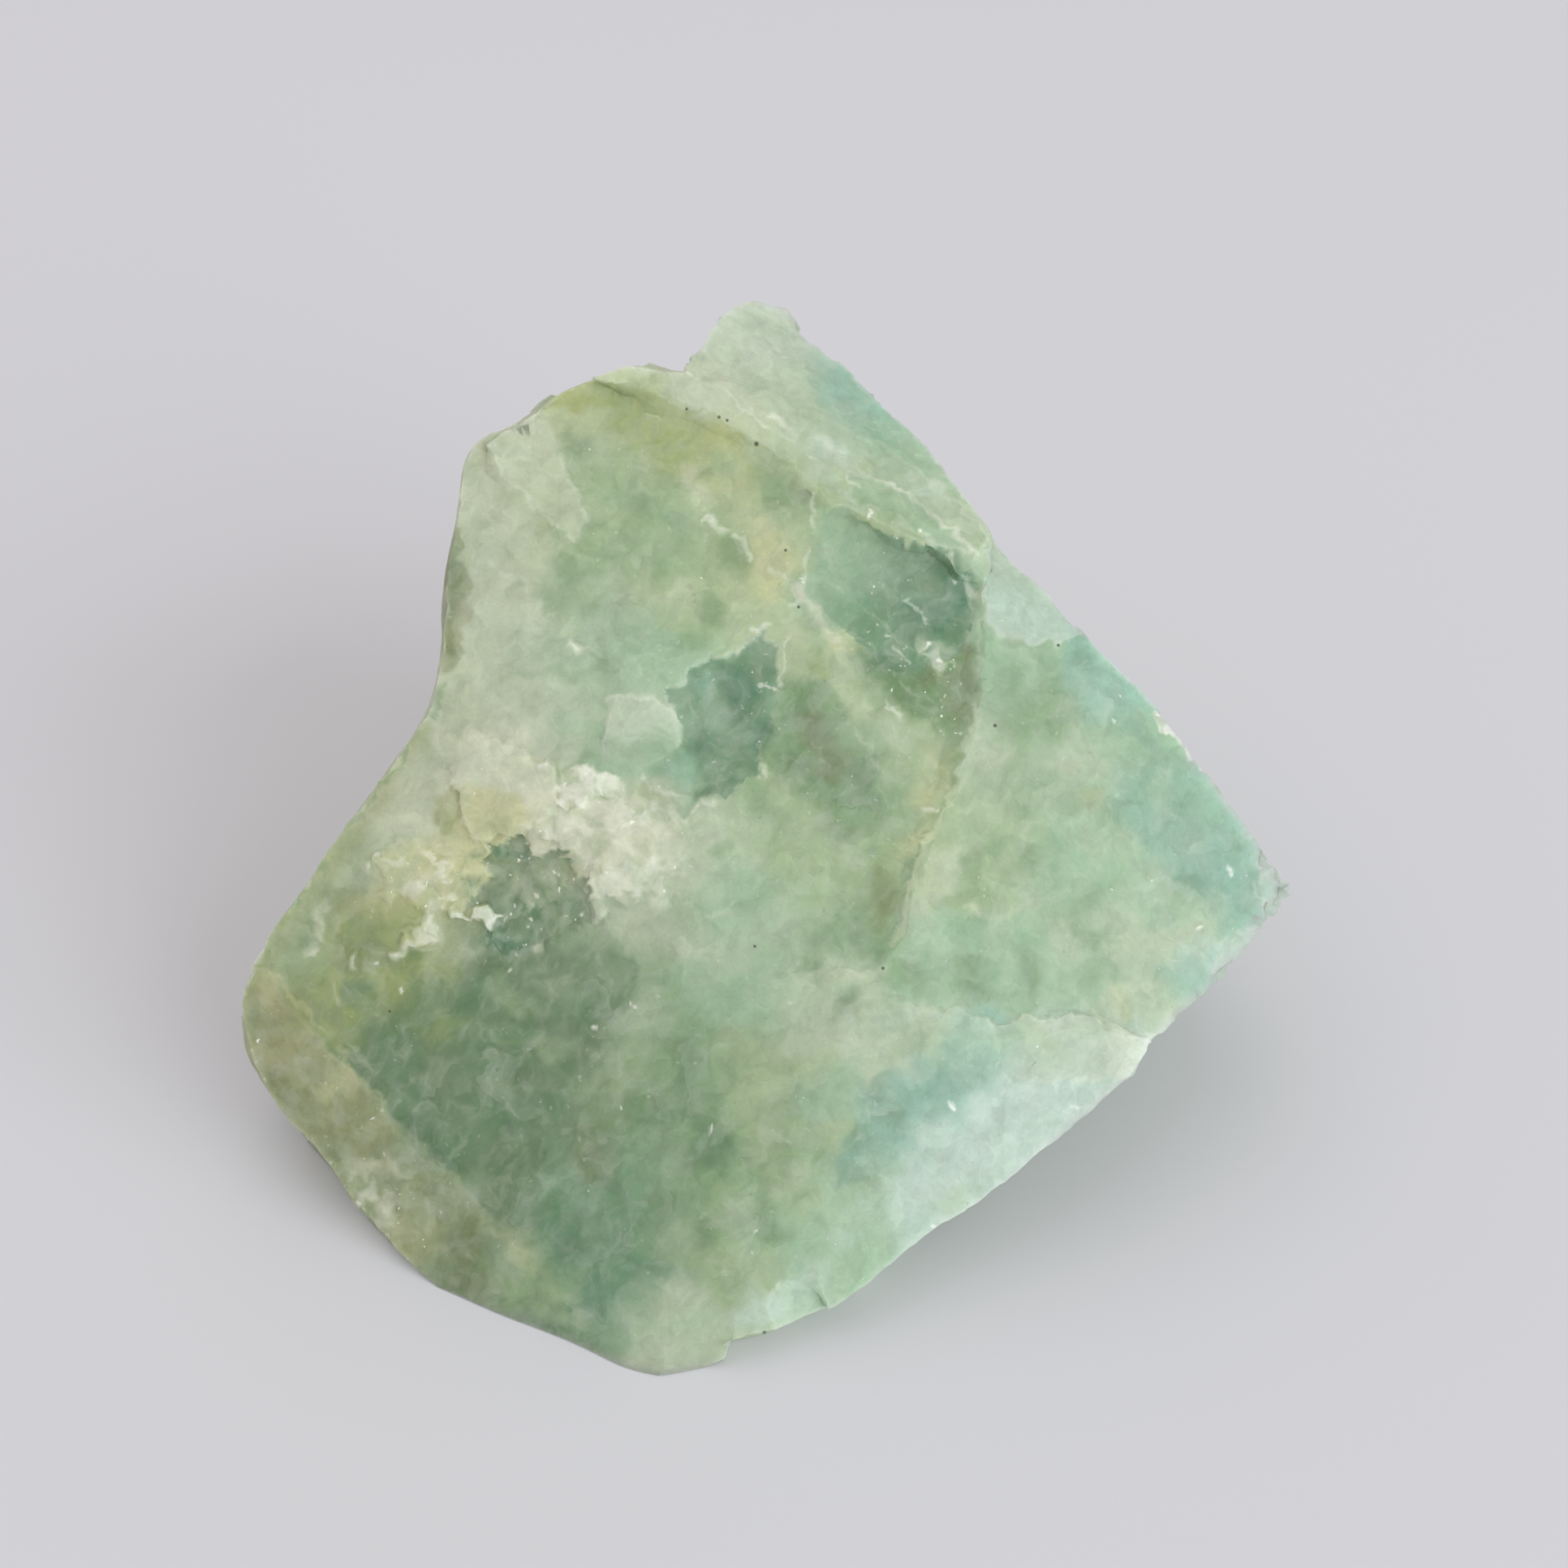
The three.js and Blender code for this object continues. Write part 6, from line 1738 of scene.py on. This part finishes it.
@dataclass(frozen=True)
class Veil:
    """A colour that shows where a haze is thick, or where it is thin.

    Attributes:
        tint: The colour.
        share: How much of it shows at most.
        deep_share: How much more of it shows where the stone is deep green.
        start: Level of the haze at which it starts.
        full: Level at which it is all there, less than the start where the haze is thin.
        shade: Factor on the colour.
    """

    tint: Tint
    share: float
    deep_share: float
    start: float
    full: float
    shade: float = 1.0

    def over(self, tint: Wire, haze: Wire, deep: Wire) -> Wire:
        """Lays the veil over a colour.

        Args:
            tint: The colour so far.
            haze: The haze.
            deep: How deep green the stone is, from 0 to 1.

        Returns:
            The colour with the veil.
        """
        share = self.share + self.deep_share * deep
        there = share * haze.sheet.step(haze, self.start, self.full)
        return haze.sheet.blend(tint, self.tint.linear * self.shade, there)


@dataclass(frozen=True)
class FilmSide:
    """What shows on one side of every inner film.

    Attributes:
        tint: Its colour.
        deep_share: How much more of it shows where the stone is deep green.
        back_share: How much more of it shows behind.
        start: Slope across the film at which it starts.
        full: Slope at which it is all there.
        share: How much of it shows anywhere.
    """

    tint: Tint
    deep_share: float
    back_share: float
    start: float
    full: float
    share: float = 0.8


@dataclass(frozen=True)
class Ground:
    """What the finish goes by.

    Attributes:
        place: Place in millimetres.
        bent: The same, pushed about.
        front: Place on the front.
        seen: How squarely the eye in front sees it.
        behind: How far round the back it is, from 0 to 1.
        frost: How grainy the surface is.
        sparkle: How many painted glints it holds, as flecks.
        films: Slope across each layer of inner films, and how strongly it shows.
    """

    place: Wire
    bent: Wire
    front: Wire
    seen: Wire
    behind: Wire
    frost: Wire
    sparkle: Wire
    films: tuple[tuple[Wire, float], ...]


@dataclass(frozen=True)
class StoneFinish:
    """Waxy, cloudy beryl with inner films, grain and bright flecks, partly painted glints.

    Attributes:
        brightness: How much of each colour of light it throws back, against its looks.
        glow: How much of the light passes under the surface.
        glow_depth: How far it passes, in millimetres.
        glow_reach: How far red, green and blue pass, as shares of that.
        fleck_length: Distance between flecks, in millimetres.
        grain_way: Direction in which the inner clouds are drawn out.
        clouds: Broad veils.
        threads: Veils along the inner fibres.
        mottles: Veils of the middle scale.
        stretch: How far those clouds are drawn out, and how much further the fibres.
        deep_green: Green light thrown back where the deep green starts and is whole.
        films: Width of the inner films in millimetres and how strongly they show.
        film_sides: Their pale side and their dark side.
        grains: Width of the finest clouds in millimetres and how far their tone varies.
        plates: The same for flat grains.
        tone: The tone where both are darkest.
        fleck_size: Width of the largest fleck, as a share of their distance.
        fleck_shares: How much of that is reached everywhere, and how much more of it
        here and there, where the painted glints gather and on the crust.
        speck_share: How black the specks are, from 0 to 1.
        pit_height: Height of the pits anywhere, and how much more it is on the crust.
        crumb_height: Height of the crumbs on the crust.
        film_height: Height of the films' edges in front, and how much more it is behind.
        pit_strength: How strongly all this turns the light.
        pit_depth: What a height of one stands for, in millimetres.
        sheen: Roughness of the waxy faces, at least.
        cloudiness: How far it varies.
        dullness: How much rougher the crust is.
        ice: Refractive index of beryl.
    """

    brightness: tuple[float, float, float] = (1.095, 1.01, 1.0)
    glow: float = 0.6
    glow_depth: float = 2.2
    glow_reach: tuple[float, float, float] = (1.0, 1.3, 1.1)
    fleck_length: float = 0.5
    grain_way: tuple[float, float, float] = (0.57, 0.55, 0.61)
    clouds: tuple[Veil, ...] = (
        Veil(Tint.POOL, 0.2, 0.0, 0.5, 0.26),
        Veil(Tint.MILK, 0.2, 0.0, 0.52, 0.72),
    )
    threads: tuple[Veil, ...] = (Veil(Tint.MILK, 0.05, 0.03, 0.5, 0.68),)
    mottles: tuple[Veil, ...] = (
        Veil(Tint.FERN, 0.16, 0.3, 0.5, 0.3, shade=0.9),
        Veil(Tint.MILK, 0.14, 0.08, 0.52, 0.7),
    )
    stretch: tuple[float, float] = (1.9, 2.6)
    deep_green: tuple[float, float] = (0.5, 0.24)
    films: tuple[tuple[float, float], ...] = ((3.2, 0.17), (1.2, 0.12))
    film_sides: tuple[FilmSide, ...] = (
        FilmSide(Tint.MILK, 0.3, 1.1, 0.0, 0.22),
        FilmSide(Tint.FERN, 0.0, 1.4, -0.02, -0.24),
    )
    grains: tuple[tuple[float, float], ...] = ((0.5, 0.16), (0.2, 0.14))
    plates: tuple[tuple[float, float], ...] = ((1.25, 0.1), (0.55, 0.08))
    tone: float = 0.76
    fleck_size: float = 0.4
    fleck_shares: tuple[float, float, float, float] = (0.12, 0.3, 0.62, 0.3)
    speck_share: float = 0.85
    pit_height: tuple[float, float] = (0.4, 0.5)
    crumb_height: float = 0.5
    film_height: tuple[float, float] = (2.2, 5.0)
    pit_strength: float = 0.35
    pit_depth: float = 0.12
    sheen: float = 0.44
    cloudiness: float = 0.16
    dullness: float = 0.2
    ice: float = 1.57

    def dress(self, stone: bpy.types.Object) -> None:
        """Gives the stone its material.

        Args:
            stone: The visible stone.
        """
        sheet = Sheet("waxy_beryl")
        ground = self.ground(sheet)
        surface = sheet.node(
            "ShaderNodeBsdfPrincipled",
            {"subsurface_method": "RANDOM_WALK"},
            {
                "Base Color": self.colour(sheet, ground),
                "Roughness": self.roughness(sheet, ground),
                "IOR": self.ice,
                "Subsurface Weight": self.glow,
                "Subsurface Radius": self.glow_reach,
                "Subsurface Scale": self.glow_depth * MM,
                "Normal": self.bump(sheet, ground),
            },
        )
        sheet.node("ShaderNodeOutputMaterial", None, {"Surface": surface})
        stone.data.materials.clear()
        stone.data.materials.append(sheet.material)

    def ground(self, sheet: Sheet) -> Ground:
        """Reads what was kept on the stone, and lays out the films.

        Args:
            sheet: The material's nodes.

        Returns:
            What the finish goes by.
        """
        metres = sheet.node("ShaderNodeTexCoord", out="Object")
        place = sheet.vector("SCALE", {"Vector": metres, "Scale": 1 / MM})
        bent = sheet.jostled(place, 0.45, 2.2)
        front = sheet.attribute("front", "Vector")
        seen = sheet.node("ShaderNodeSeparateXYZ", None, {"Vector": front}, "Z")
        return Ground(
            place,
            bent,
            front,
            seen,
            sheet.step(seen, 0.05, -0.25),
            sheet.attribute("frost", "Fac"),
            sheet.attribute("sparkle", "Fac"),
            tuple((self.film(sheet, bent, length), share) for length, share in self.films),
        )

    def film(self, sheet: Sheet, place: Wire, length: float) -> Wire:
        """Slope across thin films that overlap like scales, about -0.4 to 0.4.

        Args:
            sheet: The material's nodes.
            place: Place in millimetres.
            length: Width of a film in millimetres.

        Returns:
            The slope.
        """
        way = sheet.cells(place, length, "Color")
        middle = way.beside("Position")
        offset = sheet.vector("SUBTRACT", {"Vector": place, "Vector_001": middle})
        lean = sheet.vector("SUBTRACT", {"Vector": way, "Vector_001": (0.5, 0.5, 0.5)})
        across = {"Vector": offset, "Vector_001": lean}
        return sheet.vector("DOT_PRODUCT", across, "Value") * (1 / length)

    def colour(self, sheet: Sheet, ground: Ground) -> Wire:
        """Colour of the stone: its tint, clouded, filmed, flecked and grained.

        Args:
            sheet: The material's nodes.
            ground: What the finish goes by.

        Returns:
            The colour.
        """
        tint = sheet.attribute("tint", "Color")
        green = sheet.node("ShaderNodeSeparateColor", None, {"Color": tint}, "Green")
        deep = sheet.step(green, *self.deep_green)
        tint = self.veiled(sheet, tint, ground, deep)
        spread = sheet.step(sheet.haze(ground.place, 3.6, 2.0), 0.4, 0.56)
        for slope, share in ground.films:
            for side in self.film_sides:
                level = side.share + side.deep_share * deep + side.back_share * ground.behind
                there = share * level * spread * sheet.step(slope, side.start, side.full)
                tint = sheet.blend(tint, side.tint.linear, there)
        tint = self.specked(sheet, self.flecked(sheet, tint, ground), ground)
        full = sheet.vector("MULTIPLY", {"Vector": tint, "Vector_001": self.brightness})
        level = self.tone
        for length, share in self.grains:
            level = level + share * sheet.haze(ground.place, length, 2.0)
        for length, share in self.plates:
            level = level + share * sheet.lot(ground.bent, length)
        return sheet.vector("SCALE", {"Vector": full, "Scale": level})

    def veiled(self, sheet: Sheet, tint: Wire, ground: Ground, deep: Wire) -> Wire:
        """Lays the veils from the broadest to the finest, then a few long wisps.

        Args:
            sheet: The material's nodes.
            tint: The colour so far.
            ground: What the finish goes by.
            deep: How deep green it is, from 0 to 1.

        Returns:
            The colour with veils.
        """
        way = Vector(self.grain_way).to_track_quat("X", "Z").to_euler()
        streaked = sheet.drawn_out(ground.bent, self.stretch[0], way)
        fibres = sheet.drawn_out(streaked, self.stretch[1], (0.0, 0.0, 0.0))
        layers = (
            (sheet.haze(ground.place, 4.6, 3.0), self.clouds),
            (sheet.haze(fibres, 0.42, 2.0), self.threads),
            (sheet.haze(streaked, 1.5, 4.0), self.mottles),
        )
        for haze, veils in layers:
            for veil in veils:
                tint = veil.over(tint, haze, deep)
        middle = {"Value": sheet.haze(streaked, 3.2, 2.0) - 0.5}
        gap = sheet.node("ShaderNodeMath", {"operation": "ABSOLUTE"}, middle)
        wisp = (0.08 + 0.02 * deep) * sheet.step(gap, 0.1, 0.0)
        return sheet.blend(tint, Tint.MILK.linear, wisp)

    def flecked(self, sheet: Sheet, tint: Wire, ground: Ground) -> Wire:
        """Adds bright flecks, painted glints that gather where the stone sparkles and white grains on
        the crust, and a few dark ones.

        Args:
            sheet: The material's nodes.
            tint: The colour so far.
            ground: What the finish goes by.

        Returns:
            The colour with flecks.
        """
        chipped = sheet.jostled(ground.place, 2.6, 0.7)
        chance = sheet.lot(chipped, self.fleck_length)
        rare = sheet.step(sheet.haze(ground.place, 1.1, 2.0), 0.45, 0.68)
        everywhere, here_and_there, at_glints, crusted = self.fleck_shares
        there = everywhere + here_and_there * rare
        there = there + at_glints * ground.sparkle + crusted * ground.frost
        dot = sheet.cells(chipped, self.fleck_length, "Distance")
        gap = dot - there * chance * chance * chance * self.fleck_size
        # bright dots: painted glints, and white grains on the crust
        tint = sheet.blend(tint, Tint.FROST.linear * 1.2, 0.8 * sheet.step(gap, 0.0, -0.06))
        crumb = sheet.haze(ground.place, 0.55, 3.0) + 0.1 * there * rare
        tint = sheet.blend(tint, Tint.FROST.linear, 0.6 * there * sheet.step(crumb, 0.7, 0.78))
        dark = sheet.cells(chipped, 1.9, "Distance")
        return sheet.blend(tint, Tint.MOSSPOOL.linear * 0.7, 0.3 * sheet.step(dark, 0.07, 0.03))

    def specked(self, sheet: Sheet, tint: Wire, ground: Ground) -> Wire:
        """Adds the few black specks of the front.

        Args:
            sheet: The material's nodes.
            tint: The colour so far.
            ground: What the finish goes by.

        Returns:
            The colour with specks.
        """
        level = {"Vector": ground.front, "Vector_001": (1.0, 1.0, 0.0)}
        flat = sheet.vector("MULTIPLY", level)
        facing = sheet.step(ground.seen, 0.0, 0.1)
        for (across, up), radius in SPECKS:
            ends = {"Vector": flat, "Vector_001": (across, up, 0.0)}
            gap = sheet.vector("DISTANCE", ends, "Value")
            there = self.speck_share * facing * sheet.step(gap, radius, 0.4 * radius)
            tint = sheet.blend(tint, Tint.SOOT.linear, there)
        return tint

    def roughness(self, sheet: Sheet, ground: Ground) -> Wire:
        """Waxy on the faces and dull on the crust."""
        cloudy = self.cloudiness * sheet.haze(ground.place, 1.4, 2.0)
        return self.sheen + cloudy + self.dullness * ground.frost

    def bump(self, sheet: Sheet, ground: Ground) -> Wire:
        """Fine pitting, stronger on the crust, and the low edges of the films.

        Args:
            sheet: The material's nodes.
            ground: What the finish goes by.

        Returns:
            The direction in which the uneven surface faces.
        """
        pits = sheet.haze(ground.place, 0.32, 3.0)
        crumbs = sheet.cells(ground.place, 0.4, "Distance")
        low, rise = self.pit_height
        height = pits * (low + rise * ground.frost) - self.crumb_height * ground.frost * crumbs
        low, rise = self.film_height
        for slope, share in ground.films:
            height = height + (low + rise * ground.behind) * share * slope
        depth = self.pit_depth * MM
        values = {"Strength": self.pit_strength, "Distance": depth, "Height": height}
        return sheet.node("ShaderNodeBump", None, values)


# ---- The studio ----------------------------------------------------------------------


@dataclass(frozen=True)
class SoftLight:
    """A large soft light that looks at the stone.

    Attributes:
        name: What it is called.
        turn: Direction it stands in, in degrees from the right, anticlockwise from above.
        rise: Height above the floor as an angle, in degrees.
        distance: Distance from the stone in metres.
        size: Width in metres.
        power: Power in watts.
        colour: Its colour.
    """

    name: str
    turn: float
    rise: float
    distance: float
    size: float
    power: float
    colour: tuple[float, float, float]

    def place(self, middle: Vector) -> None:
        """Sets the light up.

        Args:
            middle: What it looks at, in metres.
        """
        lamp = bpy.data.lights.new(self.name, "AREA")
        lamp.shape = "DISK"
        lamp.size = self.size
        lamp.energy = self.power
        lamp.color = self.colour
        turn, rise = math.radians(self.turn), math.radians(self.rise)
        out = Vector(
            (math.cos(turn) * math.cos(rise), math.sin(turn) * math.cos(rise), math.sin(rise))
        )
        holder = bpy.data.objects.new(self.name, lamp)
        holder.location = middle + self.distance * out
        holder.rotation_euler = out.to_track_quat("Z", "Y").to_euler()
        bpy.context.scene.collection.objects.link(holder)


@dataclass(frozen=True)
class FloorFinish:
    """Plain pale board.

    Attributes:
        colour: Its colour in linear light.
        roughness: Its roughness.
    """

    colour: tuple[float, float, float] = (0.70, 0.67, 0.69)
    roughness: float = 0.85

    def dress(self, floor: bpy.types.Object) -> None:
        """Gives the floor its material.

        Args:
            floor: The floor.
        """
        sheet = Sheet("pale_board")
        surface = sheet.node(
            "ShaderNodeBsdfPrincipled",
            None,
            {"Base Color": (*self.colour, 1.0), "Roughness": self.roughness},
        )
        sheet.node("ShaderNodeOutputMaterial", None, {"Surface": surface})
        floor.data.materials.append(sheet.material)


@dataclass
class Studio:
    """Pale floor, soft lights and the camera.

    Attributes:
        front: The frame of the broad front, where the camera stands.
        floor_width: Width of the floor in metres.
        floor_gap: How far the floor lies below the stone, in metres.
        sky: Colour of the soft light from all round.
        sky_power: Its strength.
        lights: The lamps.
        sensor: Width of the camera's sensor in millimetres.
        nearest: How near to the camera things still show, in metres.
    """

    front: FrontView = field(default_factory=FrontView)
    floor_width: float = 12.0
    floor_gap: float = 0.00005
    sky: tuple[float, float, float] = (0.98, 0.98, 1.0)
    sky_power: float = 0.62
    lights: tuple[SoftLight, ...] = (
        SoftLight("key_light", 150.0, 62.0, 0.8, 1.1, 1.42, (1.0, 0.985, 0.975)),
        SoftLight("fill_light", -38.0, 24.0, 1.2, 1.2, 9.6, (0.82, 0.975, 1.0)),
    )
    sensor: float = 36.0
    nearest: float = 0.01

    def build(self) -> None:
        """Sets up the floor, the lights, the sky and the camera."""
        self.lay_floor()
        middle = Vector(self.front.origin) * MM
        for light in self.lights:
            light.place(middle)
        world = bpy.data.worlds.new("soft_sky")
        world.use_nodes = True
        sky = next(node for node in world.node_tree.nodes if node.type == "BACKGROUND")
        sky.inputs["Color"].default_value = (*self.sky, 1.0)
        sky.inputs["Strength"].default_value = self.sky_power
        bpy.context.scene.world = world
        self.set_camera()
        bpy.context.scene.view_settings.view_transform = "Standard"
        log.info("studio: %d lights", len(self.lights))

    def lay_floor(self) -> None:
        """Lays the floor just below the stone."""
        shape = bmesh.new()
        down = Matrix.Translation((0, 0, -self.floor_gap))
        bmesh.ops.create_grid(
            shape, x_segments=1, y_segments=1, size=self.floor_width / 2, matrix=down
        )
        mesh = bpy.data.meshes.new("floor")
        shape.to_mesh(mesh)
        shape.free()
        floor = bpy.data.objects.new("floor", mesh)
        bpy.context.scene.collection.objects.link(floor)
        FloorFinish().dress(floor)

    def set_camera(self) -> None:
        """Stands the camera in front of the broad front."""
        axes = self.front.axes
        middle = np.array(self.front.origin) * MM
        eye = middle + self.front.eye_distance * MM * axes[2]
        lens = bpy.data.cameras.new("eye")
        lens.sensor_width = self.sensor
        lens.lens = self.sensor / 2 * self.front.eye_distance / self.front.half_width
        lens.clip_start = self.nearest
        holder = bpy.data.objects.new("eye", lens)
        turn = Matrix([[float(axes[row][column]) for row in range(3)] for column in range(3)])
        holder.matrix_world = Matrix.Translation(Vector(eye.tolist())) @ turn.to_4x4()
        bpy.context.scene.collection.objects.link(holder)
        bpy.context.scene.camera = holder


# ---- Putting it together -------------------------------------------------------------


def corners(box: tuple[Vector, Vector]) -> list[list[float]]:
    """A box as plain lists."""
    return [[float(part) for part in corner] for corner in box]


def main() -> None:
    """Builds the stone and the studio."""
    noise.seed_set(NOISE_SEED)
    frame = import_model()
    stone = Stone().build(frame["nodes"][NODE])
    StoneFinish().dress(stone)
    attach(stone, BODY)
    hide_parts(NODE)
    log.info("stone: in place of %s", NODE)
    Studio().build()


if __name__ == "__main__":
    logging.basicConfig(level=logging.INFO)
    main()
